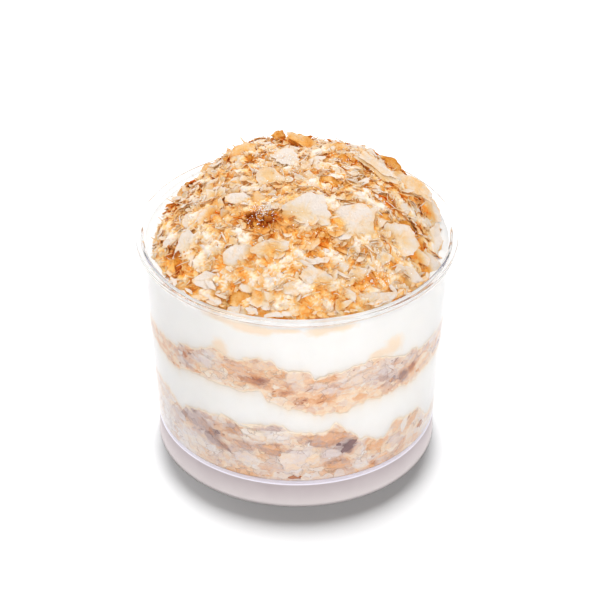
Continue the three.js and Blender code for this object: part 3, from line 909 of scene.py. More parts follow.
# Colours of the soaked layers at the wall: azimuth, height, half width, half height, tone, mauve
PATCHES = {
    "pastry_base": (
        (-43, 20.2, 4.2, 2.2, 0.62, 1.0), (-35, 18.1, 1.6, 2.2, 0.75, 0.75),
        (-30, 15.5, 2.4, 0.8, 0.8, 0.6), (-25.5, 23.1, 1.8, 2.2, 0.55, 0.5),
        (-21.5, 17.7, 2.4, 1.2, 0.62, 0.45), (-9.5, 17.7, 3, 1.5, 0.62, 0.4),
        (-12.5, 24.6, 4, 0.9, 0.55, 0.8), (-16.2, 21.7, 3, 1.5, 0.1, 0.4), (-6.8, 22.4, 3, 1.8, 0.1, 0.4),
        (-20.5, 14.1, 3, 2, 0.25, 0.8), (-0.5, 14.2, 4, 4, 0.25, 0.7), (-14.8, 15.3, 0.9, 1.2, 0.5, 0.0),
        (-21, 8.9, 4.5, 1.2, 0.42, 0.2), (-43.2, 8.6, 4, 1.4, 0.36, 0.2), (-65, 14.5, 5, 5, 0.2, 0.7),
        (-57.7, 8.5, 4, 2, 0.25, 0.8), (-41.5, 13.8, 3, 2.2, 0.15, 0.8), (-58, 23, 1.6, 1.6, 0.4, 0.0),
        (12.5, 21.1, 4.6, 1.8, 0.66, 0.35), (21.2, 17.6, 1.6, 1.6, 1.0, 1.0),
        (13.5, 16, 2.4, 1.4, 0.3, 1.0), (7, 15.3, 1.6, 2, 0.2, 0.35), (18.2, 12.2, 3, 1.6, 0.62, 0.4),
        (26.3, 15.3, 1.2, 1.6, 0.25, 0.6), (33.5, 15, 2.6, 1.8, 0.55, 0.2),
        (43, 13.7, 2.4, 2.2, 0.35, 0.45), (45, 18.7, 2, 1.8, 0.5, 0.4), (55, 16.9, 1.4, 2, 0.5, 0.0),
        (27, 10.9, 2, 1.6, 0.15, 0.7), (32.5, 8.9, 1, 0.8, 0.75, 0.0), (27.2, 8.4, 2, 0.8, 0.5, 0.1),
        (43.5, 8.6, 3, 0.9, 0.5, 0.2), (12.5, 8.9, 4, 1, 0.4, 0.4), (58, 12, 4, 3, 0.35, 0.4),
        (70, 11, 4, 3, 0.3, 0.6), (-62, 9.5, 5, 2.6, 0.0, 0.9), (-48, 8.2, 4, 1.2, 0.05, 0.9),
        (72, 9, 5, 2.6, 0.0, 0.9),
    ),
    "pastry_middle": (
        (-66, 34.6, 2.4, 1, 0.5, 0.0), (-56, 34.2, 3, 1, 0.5, 0.0), (-49.8, 40.3, 3, 1, 0.65, 0.6),
        (-52, 38.5, 2, 1.2, 0.45, 0.3), (-47, 39.4, 0.8, 0.9, 1.0, 0.0), (-47.2, 37.3, 2.4, 1, 0.55, 0.8),
        (-36.5, 41, 2.6, 1.8, 0.22, 0.9), (-23.2, 41.8, 2.6, 2, 0.5, 0.35),
        (-26, 43.6, 1.2, 0.8, 0.75, 0.5), (-16.8, 38.9, 2.8, 0.9, 0.9, 0.1),
        (-12.5, 43.7, 2.4, 1.5, 0.36, 0.0), (-6.8, 41.8, 1.6, 1, 0.6, 0.0), (0.5, 41.3, 3, 1.8, 0.38, 0.5),
        (-5.5, 36.5, 1.6, 1, 0.75, 0.0), (-30.5, 36.8, 4, 1.4, 0.15, 0.2), (-40.8, 36.6, 1.2, 1, 0.5, 0.0),
        (11, 40.1, 2.4, 1, 0.65, 0.0), (14, 41.3, 0.8, 0.6, 0.6, 0.7), (24, 38.2, 4.2, 2, 0.3, 0.65),
        (12.2, 36.7, 4, 1.2, 0.5, 0.6), (10.5, 34.1, 1.8, 1.2, 0.75, 0.0), (2.5, 34, 3, 1.4, 0.55, 0.0),
        (37, 37.5, 3.4, 3, 0.45, 0.75), (50.3, 34.7, 1, 1, 0.95, 0.0), (45, 33.8, 1.4, 1.2, 0.9, 1.0),
        (51.5, 38.4, 1.8, 2, 0.5, 0.65), (62, 38.2, 2, 2.2, 0.3, 0.7), (75, 35, 4, 3, 0.5, 0.8),
        (22, 34.4, 3, 0.8, 0.4, 0.0),
    ),
}

# Tone and mauve of a soaked layer away from its patches, and their weight
PLAIN_TONE = {"pastry_base": (0.3, 0.4), "pastry_middle": (0.38, 0.1)}
PLAIN_WEIGHT = 0.1

# Shares of flakes, slivers and crumbs among the random pieces at the wall
WALL_MIX = (0.5, 0.25, 0.25)


def painted(node, azimuth, height):
    """Tone and mauve of a soaked layer: the mean of its patches, weighted by exp(-(distance / half size)2),
    and of its plain tone, which counts where no patch is near."""
    total = np.full(np.shape(height), PLAIN_WEIGHT)
    sums = [total * value for value in PLAIN_TONE[node]]
    for at, z, wide, tall, *values in PATCHES[node]:
        turn = beside(azimuth, at) * np.radians(PASTRY_RADIUS)
        weight = np.exp(-(turn / wide) ** 2 - ((height - z) / tall) ** 2)
        total = total + weight
        sums = [so_far + weight * value for so_far, value in zip(sums, values)]
    return [so_far / total for so_far in sums]


class BuildPastryLayers(bpy.types.Operator):
    """The two soaked pastry layers: packed crumb, and flakes, slivers and crumbs pressed to the wall"""

    bl_idname = "dessert.pastry_layers"
    bl_label = "Pastry layers"

    def execute(self, context):
        food = context.scene.dessert_food
        self.cup = Cup()
        self.rng = np.random.default_rng(PASTRY_SEED)
        self.crumb = soaked_pastry("soaked crumb", mosaic=0.38, grainy=0.35)
        self.sheet = soaked_pastry("soaked flake", mosaic=0.16, grainy=0.28)
        floor = level_of(self.cup.floor_top - 0.05)
        base, lower, middle = (edge_of(edge) for edge in (BASE_EDGE, LOWER_CREAM_EDGE, MIDDLE_EDGE))
        self.layer("pastry_base", floor, base, food.base_flakes, sizes=(1.2, 5))
        self.layer("pastry_middle", lower, middle, food.middle_flakes, sizes=(0.6, 2.6))
        return {"FINISHED"}

    def layer(self, node, bottom, top, count, sizes):
        """One layer's crumb, and the flakes pressed to the wall in front of it."""
        cup = self.cup
        points, faces = layer_points(
            bottom, top, lambda z: cup.inner(z) + CRUMB_IN_WALL, rows=48, segments=540)
        tone, mauve = painted(node, azimuth_of(points), points[:, 2])
        piece = show_mesh(node + "_crumb", points, *faces, self.crumb, {
            "tone": tone, "mauve": mauve, "edge": self.edge(node, points, bottom, top)})
        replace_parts(piece, node)
        *shape, tone, mauve, depth = self.pressed(node, bottom, top, count, sizes)
        reach = WALL_PLATE.outlines(self.rng, len(tone), sides=5, rough=0.12)
        groups = pressed_plates(cup, WALL_PLATE, reach, *shape, depth)
        piece = show_many(
            node + "_flakes", groups, WALL_PLATE.faces, self.sheet, tone=tone[:, None], mauve=mauve[:, None],
            rim=WALL_PLATE.share, edge=self.edge(node, groups, bottom, top))
        piece.data.set_sharp_from_angle(angle=SHARP)

    def edge(self, node, points, bottom, top):
        """Nearness to the cream, exp(-distance / smear): the base layer has cream above it alone."""
        azimuth = azimuth_of(points)
        away = top(azimuth) - points[..., 2]
        if node == "pastry_middle":
            away = np.minimum(away, points[..., 2] - bottom(azimuth))
        return np.exp(-np.maximum(away, 0) / SMEAR)

    def pressed(self, node, bottom, top, count, sizes):
        """Azimuth, height, length, width, turn, tone, mauve and depth of the listed flakes and of random
        flakes, slivers and crumbs behind them, which take the layer's colours with small differences."""
        rng = self.rng
        kind = rng.choice(len(WALL_MIX), count, p=WALL_MIX)
        length = np.choose(kind, [
            skewed(rng, *sizes, count, 2), rng.uniform(1, 4, count), rng.uniform(0.3, 0.8, count)])
        width = np.choose(kind, [
            length * rng.uniform(0.4, 0.85, count), rng.uniform(0.12, 0.3, count), 0.8 * length])
        azimuth = rng.uniform(0, 2 * np.pi, count)
        height = mix(bottom(azimuth) + 0.1 * width, top(azimuth) - 0.1 * width, rng.uniform(0, 1, count))
        tone, mauve = painted(node, azimuth, height)
        tone += np.choose(kind, [rng.normal(0, 0.22, count), *rng.choice((-0.35, 0.4), (2, count))])
        mauve += rng.normal(0, 0.15, count)
        placed = np.array(WALL_FLAKES[node]).T
        angles = [0, 4]
        placed[angles] = np.radians(placed[angles])
        listed = [*placed, np.linspace(0, 0.15, placed.shape[1])]
        drawn = (azimuth, height, length, width, np.radians(rng.normal(0, 25, count)), tone, mauve,
                 rng.uniform(0.17, 0.4, count))
        return [np.concatenate(pair) for pair in zip(drawn, listed)]


# Toasted places on the heap: azimuth in degrees, share of the radius, half width in mm, strength
TOASTED = (
    (110, 0.79, 2.4, 0.5), (54, 0.26, 2.4, 0.5), (92, 0.26, 2.4, 0.5), (112, 0.34, 1.6, 0.4),
    (-119, 0.57, 1.6, 0.4), (-115, 0.37, 1.6, 0.4), (-4, 0.76, 1.8, 0.4), (-11, 0.79, 1.8, 0.4),
    (-23, 0.94, 2.6, 0.4), (15, 0.61, 3, 0.6), (39, 0.92, 2.8, 0.4), (26, 0.89, 2, 0.4),
    (66, 0.77, 2.2, 0.4), (61, 0.67, 2, 0.4), (3, 0.96, 2.4, 0.3), (84, 0.57, 2, 0.6), (82, 0.66, 2, 0.6),
    (-44, 0.74, 1.8, 0.3), (-27, 0.54, 3, 0.5), (-57, 0.92, 2.4, 0.4), (20, 0.77, 3.6, -0.3),
    (-2, 0.86, 4, -0.25), (65, 0.99, 4, -0.3), (-100, 0.8, 7, -0.35), (-75, 0.75, 4, -0.2),
    (-62, 0.8, 8, -0.2), (-45, 0.6, 6, -0.15), (70, 0.85, 6, -0.2), (92, 0.9, 6, -0.26),
    (80, 0.75, 8, -0.2), (0, 0.85, 9, 0.09),
)

# Sheets that can be told apart: azimuth, share of the radius, length, width, turn, tone, lean forward, rise
SHEETS = (
    (6, 0.46, 12, 8.6, -5, -0.1, 0.85, 2.6), (38, 0.6, 12, 10, -40, 0.02, 0.85, 2.0),
    (-50, 0.22, 7, 7, 10, 0.1, 0.6, 1.0), (-74, 0.37, 8, 3.6, 5, 0.0, 0.3, 1.2),
    (-57, 0.46, 7, 3, -3, 0.0, 0.4, 1.2), (-59, 0.85, 7.5, 5, 65, 0.0, 0.6, 1.5),
    (-70, 0.89, 5.5, 2, 20, 0.0, 0.4, 1.4), (-27, 0.76, 9.5, 6, -12, 0.04, 0.7, 1.3),
    (-14, 0.68, 9.5, 3.6, 10, 0.1, 0.5, 1.2), (8, 0.81, 8, 5, -20, 0.08, 0.7, 1.2),
    (56, 0.8, 10.5, 8, -25, 0.0, 0.75, 1.4), (49, 0.97, 11, 6, -35, 0.0, 0.7, 1.6),
    (29, 0.97, 10.5, 5.4, 12, 0.02, 0.7, 1.4), (-62, 0.66, 5.6, 4.4, 35, 0.08, 0.7, 1.2),
    (-39, 0.91, 7, 4, -8, 0.02, 0.6, 1.3), (-20, 0.99, 8, 2.8, -12, 0.02, 0.5, 1.2),
    (13, 0.99, 6.6, 2.6, 6, 0.05, 0.5, 1.2), (16, 0.96, 7, 1.7, 28, 0.12, 0.5, 1.2),
    (43, 0.82, 4.2, 3, 30, 0.04, 0.6, 1.2), (28, 0.83, 4.6, 3.4, 20, 0.12, 0.6, 1.1),
    (76, 0.74, 5, 3, 15, 0.1, 0.6, 1.2), (82, 0.96, 7.5, 4, 80, -0.06, 0.6, 2.0),
    (62, 0.92, 5.6, 3, -40, -0.04, 0.6, 1.6), (-12, 0.84, 5, 2.6, 0, 0.04, 0.6, 1.2),
    (-126, 0.46, 6.6, 5.4, 5, 0.4, 0.6, 1.2), (110, 0.79, 4.6, 3, -15, 0.75, 0.7, 1.2),
    (54, 0.26, 5.6, 4, 0, 0.7, 0.7, 1.0), (92, 0.26, 5, 3.4, -10, 0.72, 0.6, 1.0),
    (66, 0.77, 5.2, 2.4, 5, 0.68, 0.6, 1.2), (61, 0.67, 3.6, 2.3, 8, 0.68, 0.6, 1.2),
    (-57, 0.92, 5.6, 2.1, -85, 0.86, 0.8, 1.8), (69, 0.89, 5, 1.1, -75, 0.6, 0.8, 1.6),
    (-5, 0.98, 5.6, 2.1, -5, 0.6, 0.6, 1.1), (-23, 0.94, 5, 4.4, 0, 0.58, 0.7, 1.0),
    (21, 0.94, 4.2, 2, 30, 0.66, 0.6, 1.1), (-119, 0.57, 2.6, 1.8, 10, 0.7, 0.6, 1.2),
    (-4, 0.76, 3, 2.6, 0, 0.62, 0.7, 1.1), (112, 0.34, 2.6, 2.6, 0, 0.66, 0.7, 1.2),
    (137, 0.39, 6.6, 3, -5, 0.4, 0.6, 1.4), (-129, 0.83, 4, 3.4, 10, 0.36, 0.6, 1.6),
    (-117, 0.93, 4.2, 2.2, 35, 0.4, 0.6, 1.8), (104, 0.96, 7, 4, -60, -0.04, 0.6, 2.0),
    (20, 0.77, 5, 3.6, 10, 0.2, 0.6, 1.0), (-2, 0.86, 5, 3.4, 0, 0.14, 0.6, 1.0),
    (66, 0.98, 8, 5, -45, -0.04, 0.65, 1.5),
)

# Chunks of sheets: azimuth, share, length, width, turn, first and last tone, lean forward, rise, sheets
CHUNKS = (
    (98, 0.53, 12, 3.2, -35, -0.05, 0.0, 0.5, 2.8, 3), (102, 0.78, 12, 4.4, -22, 0.1, 0.15, 0.55, 2.4, 3),
    (171, 0.36, 11, 3.4, -30, 0.55, 0.45, 0.75, 1.3, 4), (-143, 0.14, 8, 5, -26, 0.3, 0.0, 0.3, 0.8, 5),
    (115, 0.7, 6, 3, -25, 0.6, 0.75, 0.6, 1.2, 3),
)

# Round toasted lumps: azimuth, share of the radius, radius, rise
LUMPS = ((-165, 0.5, 1.7, 2.4), (-119, 0.9, 1, 2), (-115, 0.37, 1, 1.2))

# The dark crumbly piece: azimuth, share of the radius, spread along, across and up in mm
BURNT = (-25, 0.54, 1.7, 1.1, 0.45)

# Grid over the heap on which its upper skin is worked out: size of a cell in mm, and cells along a side
SKIN_CELL = 0.5
SKIN_CELLS = 180

# Parts of the way to a shape's middle at which the shape is entered in the grid
SKIN_PARTS = (0, 0.35, 0.7)

# Ways in which the sky is looked for from a point, and how far away the skin is met, in mm
SKY_WAYS = 8
SKY_STEPS = (0.7, 1.3, 2.2, 3.5)

# Light in a place that sees no sky and in one that sees all of it, before it is cut off at 1
NO_SKY_LIGHT = 0.42
FULL_SKY_LIGHT = 1.15

# Tone of the lowest and highest random flakes, darker low down as painted shade, its random spread, and how
# much toasted places count in it
LOW_TONE = 0.14
HIGH_TONE = -0.06
TONE_SPREAD = 0.17
TOAST_WEIGHT = 1.35

# The core's relief and tone: height or strength, length in mm, seed, and its mean tone
CORE_RELIEF = ((0.7, 7, 7), (0.5, 3, 8), (0.18, 1.4, 9))
CORE_FINE = ((0.08, 0.9, 10),)
CORE_TONES = ((0.16, 5, 11), (0.1, 1.6, 12))
CORE_TONE = 0.1

# The core's lowest level in mm, and its tone and openness there
CORE_BOTTOM = 54.2
BOTTOM_TONE = 0.3
BOTTOM_OPEN = 0.5

# Elevation of the viewer that the listed pieces lean towards, in degrees, and the share of their rise kept
VIEWER = 35
RISE_KEPT = 0.7


class BuildHeap(bpy.types.Operator):
    """The heap: a crumbly dome, and over it sheets, shards, shreds, chunks of unbroken sheets and crumbs"""

    bl_idname = "dessert.heap"
    bl_label = "Heap of flakes"

    def execute(self, context):
        food = context.scene.dessert_food
        self.cup = Cup()
        self.heap = Heap()
        self.rng = np.random.default_rng(HEAP_SEED)
        self.listed = np.random.default_rng(LISTED_SEED)
        baked = ("pale", "buttery", "golden", "toasted", "brown")
        stops = [(at, tuple(getattr(food, key))) for at, key in zip(np.linspace(0, 1, 5).tolist(), baked)]
        self.parts = {}
        self.scatter(
            "heap_sheets", SHEET_PLATE, food.heap_flakes, sizes=(1.6, 5.8), tip=0.26, lift=(0.1, 0.9))
        self.scatter(
            "heap_shards", SMALL_PLATE, food.heap_shards, sizes=(0.6, 2.4), tip=0.42, lift=(0.3, 1.0))
        self.clumps(food.heap_clumps)
        self.shreds(food.heap_shreds)
        self.crumbs(food.heap_crumbs)
        self.lumps()
        self.placed_sheets()
        self.chunks()
        self.burnt()
        self.rim_flakes()
        skin = self.upper_skin([groups for groups, *_ in self.parts.values()])
        self.core(baked_crumb(stops), skin)
        material = baked_sheet(stops)
        for name, (groups, faces, tone, rim, shade) in self.parts.items():
            sky = self.openness(groups, skin) * shade
            piece = show_many(name, groups, faces, material, tone=tone, rim=rim, open=sky)
            piece.data.set_sharp_from_angle(angle=SHARP)
        return {"FINISHED"}

    def rise(self, points):
        """Distance above the bare dome: the height above it, less on a slope."""
        azimuth = azimuth_of(points)
        share = np.hypot(points[..., 0], points[..., 1]) / self.heap.radius(azimuth)
        share = np.minimum(share, 1.02)
        height = points[..., 2] - self.heap.point(azimuth, share)[..., 2]
        return height * self.heap.normal(azimuth, share)[..., 2]

    def cell(self, points):
        """Row and column of the grid's cell under each point."""
        place = np.clip(points[..., :2] / SKIN_CELL + SKIN_CELLS / 2, 0, SKIN_CELLS - 1).astype(int)
        return place[..., 0], place[..., 1]

    def upper_skin(self, many):
        """The heap's upper skin above the bare dome: the highest point of any shape in each cell of a grid,
        taken all over each shape and spread to the cells beside it."""
        skin = np.zeros((SKIN_CELLS, SKIN_CELLS))
        for groups in many:
            for part in SKIN_PARTS:
                points = mix(groups, groups.mean(1, keepdims=True), part)
                np.maximum.at(skin, self.cell(points), self.rise(points))
        return np.maximum.reduce([np.roll(skin, step, axis) for axis in (0, 1) for step in (-1, 0, 1)])

    def openness(self, points, skin):
        """Share of the sky seen from each point: in every direction the skin around rises at most by a slope
        t, and 1 / (1 + t2) of the light comes in above it."""
        rise = self.rise(points)
        seen = np.zeros_like(rise)
        for turn in even_turns(SKY_WAYS):
            steepest = np.zeros_like(rise)
            for away in SKY_STEPS:
                near = points + away * np.array([np.cos(turn), np.sin(turn), 0])
                steepest = np.maximum(steepest, (skin[self.cell(near)] - rise) / away)
            seen += 1 / (1 + steepest ** 2)
        return np.minimum(mix(NO_SKY_LIGHT, FULL_SKY_LIGHT, seen / SKY_WAYS), 1)

    def toasting(self, points):
        """Tone of the heap at each point: the toasted places, exp(-(distance / half width)2), added up."""
        total = np.zeros(points.shape[:-1])
        for at, share, half, strength in TOASTED:
            centre = self.heap.point(np.radians(at), share)
            total += strength * np.exp(-(np.linalg.norm(points - centre, axis=-1) / half) ** 2)
        return total

    def core(self, material, skin):
        """The dome with its relief cut into thin broken steps, like sheets that lie over each other: painted
        shade at the foot of a step, and pale at its edge."""
        segments, rings = 600, 150
        step, shift, relief, raised = 0.8, 1.6, 0.6, 0.4
        riser_shade, pale_edge, pale_bump, toast = 0.3, 0.25, 0.15, 0.6
        azimuth = even_turns(segments)
        share = (np.arange(rings)[::-1] / rings + 0.5 / rings)[:, None]
        dome = self.heap.point(azimuth[None], share)
        normal = self.heap.normal(azimuth[None], share)
        rough = ripples(dome, CORE_RELIEF)
        part = (dome[..., 2] + shift * rough) / step % 1
        lift = relief * rough + step * (part ** 5 - part + 0.5) + ripples(dome, CORE_FINE) + raised
        tone = ripples(dome, CORE_TONES, CORE_TONE) - pale_bump * rough
        # Painted shade darkens the foot of each step
        tone = tone + riser_shade * part ** 3 - pale_edge * (1 - part) ** 4 + toast * self.toasting(dome)
        tone = np.clip(tone, 0.05, 0.8)
        dome = dome + normal * (lift * ease(share * 40))[..., None]
        sky = self.openness(dome, skin)
        foot = around(azimuth, self.heap.radius(azimuth), np.full(segments, CORE_BOTTOM))
        shell = kept_inside(self.cup, np.concatenate([foot[None], dome]))
        points = turned_points(shell, (0, 0, CORE_BOTTOM), (0, 0, dome[-1, :, 2].mean()))
        piece = show_mesh("heap_crumb", points, *turned_faces(len(shell), segments), material, {
            "tone": self.over_bottom(BOTTOM_TONE, tone), "open": self.over_bottom(BOTTOM_OPEN, sky)})
        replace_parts(piece, "flake_heap")

    def over_bottom(self, bottom, rings):
        """The core's values: one for its lower pole and lowest ring, the rings' own, their mean on top."""
        lowest = np.full(1 + rings.shape[1], bottom)
        return np.concatenate([lowest, rings.ravel(), [rings[-1].mean()]])

    def spots(self, count, lift):
        """Places all over the dome, the dome's normal there, turned upwards, and a tone: darker for lower
        flakes as painted shade, with a random spread and the toasted places added.
        """
        share = np.sqrt(self.rng.uniform(0, 1.02, count))
        azimuth = self.rng.uniform(0, 2 * np.pi, count)
        normal = self.heap.normal(azimuth, share)
        dome = self.heap.point(azimuth, share)
        rise = self.rng.uniform(0, 1, count)
        # Lower flakes get a darker tone: painted shade
        tone = mix(LOW_TONE, HIGH_TONE, rise) + self.rng.normal(0, TONE_SPREAD, count)
        tone = tone + TOAST_WEIGHT * self.toasting(dome)
        place = dome + normal * mix(*lift, rise)[:, None]
        return place, unit(normal + np.array([0, 0, 0.2])), np.clip(tone, 0, 1)

    def add(self, name, groups, faces, tone, rim=0.0, shade=1.0):
        """Keeps a piece's shapes, pressed inside the cup, until the heap's skin is known."""
        self.parts[name] = (kept_inside(self.cup, groups), faces, tone[:, None], rim, shade)

    def add_plates(self, name, plate, groups, tone):
        """The same for shapes made from one plate."""
        self.add(name, groups, plate.faces, tone, plate.share, plate.shade)

    def scatter(self, name, plate, count, sizes, tip, lift):
        """Broken sheets strewn over the dome, more of them small than large."""
        rng = self.rng
        place, normal, tone = self.spots(count, lift)
        normal = tipped(rng, normal, tip)
        length = skewed(rng, *sizes, count, 1.6)
        width = length * rng.uniform(0.45, 0.95, count)
        reach = plate.outlines(rng, count, sides=5, rough=0.1, notch=0.15)
        groups = curled_plates(
            rng, plate, place, normal, length, width, rng.normal(0, 0.9, count), thick=0.1, curl=0.16,
            crumple=0.06, reach=reach)
        self.add_plates(name, plate, groups, tone)

    def clumps(self, count, sheets=4):
        """Small clumps of sheets that lie over each other along one normal, each shifted a little."""
        rng = self.rng
        spots = self.spots(count, lift=(-0.6, 0.0))
        place, normal, tone = (np.repeat(values, sheets, 0) for values in spots)
        total = count * sheets
        layer = np.tile(np.arange(sheets), count)
        normal = unit(normal + np.repeat(rng.normal(0, 0.4, (count, 3)), sheets, 0))
        place = place + normal * (0.32 * layer + 0.3)[:, None]
        place = place + rng.normal(0, 0.5, place.shape) * [1, 1, 0.1]
        length = np.repeat(rng.uniform(2, 5, count), sheets) * rng.uniform(0.8, 1.1, total)
        width = length * np.repeat(rng.uniform(0.25, 0.6, count), sheets)
        turn = np.repeat(rng.normal(0, 0.6, count), sheets) + rng.normal(0, 0.12, total)
        groups = curled_plates(
            rng, SMALL_PLATE, place, normal, length, width, turn, thick=0.12, curl=0.12, crumple=0.05)
        tone = np.clip(tone - 0.12 * layer + rng.normal(0, 0.1, total), 0, 1)
        self.add_plates("heap_clumps", SMALL_PLATE, groups, tone)

    def shreds(self, count):
        """Thin strips strewn over the dome."""
        rng = self.rng
        place, normal, tone = self.spots(count, lift=(0.2, 0.9))
        normal = tipped(rng, normal, 0.4)
        length = skewed(rng, 1.5, 6.5, count, 1.5)
        width = skewed(rng, 0.18, 0.9, count, 2)
        groups = curled_shreds(rng, place, normal, length, width, rng.normal(0, 0.55, count))
        tone = tone + rng.normal(0.08, 0.16, count)
        self.add("heap_shreds", groups, shred_faces(), tone)

    def laid(self, azimuth, share, lean, rise):
        """Place and normal of a listed piece: the dome's normal, leant towards a viewer at the front."""
        azimuth = np.radians(azimuth)
        normal = self.heap.normal(azimuth, share)
        place = self.heap.point(azimuth, share) + normal * (RISE_KEPT * rise[:, None])
        viewer = np.array([0, -np.cos(np.radians(VIEWER)), np.sin(np.radians(VIEWER))])
        return place, unit(mix(normal, viewer, lean[:, None]))

    def placed_sheets(self):
        """The listed sheets, each at its own place."""
        azimuth, share, length, width, turn, tone, lean, rise = np.array(SHEETS).T
        place, normal = self.laid(azimuth, share, lean, rise)
        reach = LARGE_PLATE.outlines(self.listed, len(tone), sides=8, rough=0.05, notch=0.08)
        groups = curled_plates(
            self.listed, LARGE_PLATE, place, normal, length, width, np.radians(turn), thick=0.14, curl=0.1,
            crumple=0.008, reach=reach)
        self.add_plates("heap_large_sheets", LARGE_PLATE, groups, tone)

    def chunks(self):
        """Sheets of one outline laid over each other along the normal, each a little turned."""
        rng = self.listed
        rows = np.array(CHUNKS)
        count = rows[:, -1].astype(int)
        layer = np.concatenate([np.arange(sheets) for sheets in count])
        reach = np.repeat(LARGE_PLATE.outlines(rng, len(rows), sides=6, rough=0.08), count, 0)
        azimuth, share, length, width, turn, first, last, lean, rise, sheets = np.repeat(rows, count, 0).T
        place, normal = self.laid(azimuth, share, lean, rise + 0.4 * layer)
        place = place + rng.normal(0, 0.2, place.shape)
        total = len(layer)
        length = length * rng.uniform(0.88, 1.05, total)
        width = width * rng.uniform(0.8, 1.05, total)
        turn = np.radians(turn + rng.normal(0, 3, total))
        groups = curled_plates(
            rng, LARGE_PLATE, place, normal, length, width, turn, thick=0.2, curl=0.03, crumple=0.006,
            reach=reach)
        tone = np.clip(mix(first, last, layer / (sheets - 1)) + rng.normal(0, 0.05, total), 0, 1)
        self.add_plates("heap_chunks", LARGE_PLATE, groups, tone)

    def lumps(self):
        """The listed round lumps."""
        azimuth, share, radius, rise = np.array(LUMPS).T
        place, _ = self.laid(azimuth, share, np.zeros(len(rise)), rise)
        ball, tone = (9, 14), 0.66
        groups = grains(self.rng, place, radius, *ball, uneven=0.25)
        self.add("heap_lumps", groups, turned_faces(*ball), np.full(len(rise), tone))

    def burnt(self, count=70):
        """A dark crumbly piece: grains heaped in a flat oval around one place of the dome."""
        rng = self.rng
        azimuth, share = np.radians(BURNT[0]), BURNT[1]
        away = rng.normal(0, 1, (count, 3)) * BURNT[2:]
        u, v = across_normal(self.heap.normal(azimuth, share)[None], np.radians([-12.0]))
        normal = np.cross(u, v)
        place = self.heap.point(azimuth, share) + away @ np.concatenate([u, v, normal]) + 1.1 * normal
        ball = (4, 7)
        groups = grains(rng, place, rng.uniform(0.35, 0.8, count), *ball, uneven=0.35)
        self.add("heap_burnt", groups, turned_faces(*ball), rng.uniform(0.8, 1.1, count))

    def rim_flakes(self, count=44):
        """Flakes that lie nearly flat over the rim's inner edge, all along the front."""
        rng = self.listed
        azimuth = np.radians(rng.uniform(-64, 60, count))
        radius = self.cup.inner(self.cup.height) - rng.uniform(-0.4, 1.3, count)
        place = around(azimuth, radius, self.cup.height + rng.uniform(0.25, 0.6, count))
        normal = tipped(rng, around(azimuth, 0.25, 1.0), 0.12)
        length = skewed(rng, 1.6, 5, count, 1.5)
        width = length * rng.uniform(0.35, 0.6, count)
        turn = azimuth + rng.normal(0, 0.35, count)
        groups = curled_plates(
            rng, SHEET_PLATE, place, normal, length, width, turn, thick=0.1, curl=0.1, crumple=0.04)
        tone = np.clip(rng.normal(0.15, 0.25, count), 0, 1)
        self.add_plates("heap_rim_flakes", SHEET_PLATE, groups, tone)

    def crumbs(self, count):
        """Loose grains strewn over the dome."""
        rng = self.rng
        place, _, tone = self.spots(count, lift=(0.0, 0.9))
        ball = (3, 6)
        groups = grains(rng, place, skewed(rng, 0.12, 0.45, count, 2), *ball)
        self.add("heap_crumbs", groups, turned_faces(*ball), tone)


# Radius of the heap by which the sugar's spread is turned into a share of it, in mm
SUGAR_RADIUS = 36

# Patches of icing sugar: azimuth, share of the radius, spread in mm, share of the grains
SUGARED = (
    (-27, 0.5, 1.6, 0.3), (-130, 0.15, 2.6, 0.15), (100, 0.4, 3, 0.1), (39, 0.9, 3, 0.1), (0, 0.5, 18, 0.35),
)


class BuildDust(bpy.types.Operator):
    """Icing sugar in a few patches over the heap"""

    bl_idname = "dessert.dust"
    bl_label = "Icing sugar"

    def execute(self, context):
        count = context.scene.dessert_food.dust_grains
        rng = np.random.default_rng(SUGAR_SEED)
        heap = Heap()
        patches = np.array(SUGARED)
        at, share, spread, _ = patches[rng.choice(len(patches), count, p=patches[:, 3])].T
        spread = spread / SUGAR_RADIUS
        azimuth = np.radians(at) + rng.normal(0, 1, count) * spread / np.maximum(share, 0.2)
        share = np.clip(np.abs(share + rng.normal(0, 1, count) * spread), 0, 1)
        rise = rng.uniform(0.9, 2.4, count)[:, None]
        place = heap.point(azimuth, share) + heap.normal(azimuth, share) * rise
        ball = (1, 4)
        groups = grains(rng, place, rng.uniform(0.08, 0.2, count), *ball)
        piece = show_many("heap_sugar", groups, turned_faces(*ball), sugar())
        return {"FINISHED"}


# The pinhole fitted to the rim, wall and foot: degrees, metres, and pixels to a metre at the point aimed at
ELEVATION = 34.96
ROLL = 0.213
DISTANCE = 0.7
SCALE = 3945.4
AIM = (0, 0, 0.03)

# The picture's side, and where the point aimed at shows in it, in pixels
PICTURE = 600
AIM_SEEN = (296.654, 326.692)

# Width of the camera's sensor, in mm
SENSOR = 36

# Lamps: place, point aimed at and width, in metres
KEY_LAMP = ((-0.28, 0.3, 0.85), AIM, 0.5)
TABLE_LAMP = ((0, 2.41, 1.78), (0, 0, 0), 1.75)
FRONT_LAMP = ((0.22, -0.94, 0.64), AIM, 1.4)
FRONT_LAMP_HEIGHT = 0.8

# Colour of the even light
SKY_TINT = (1, 0.98, 0.955, 1)


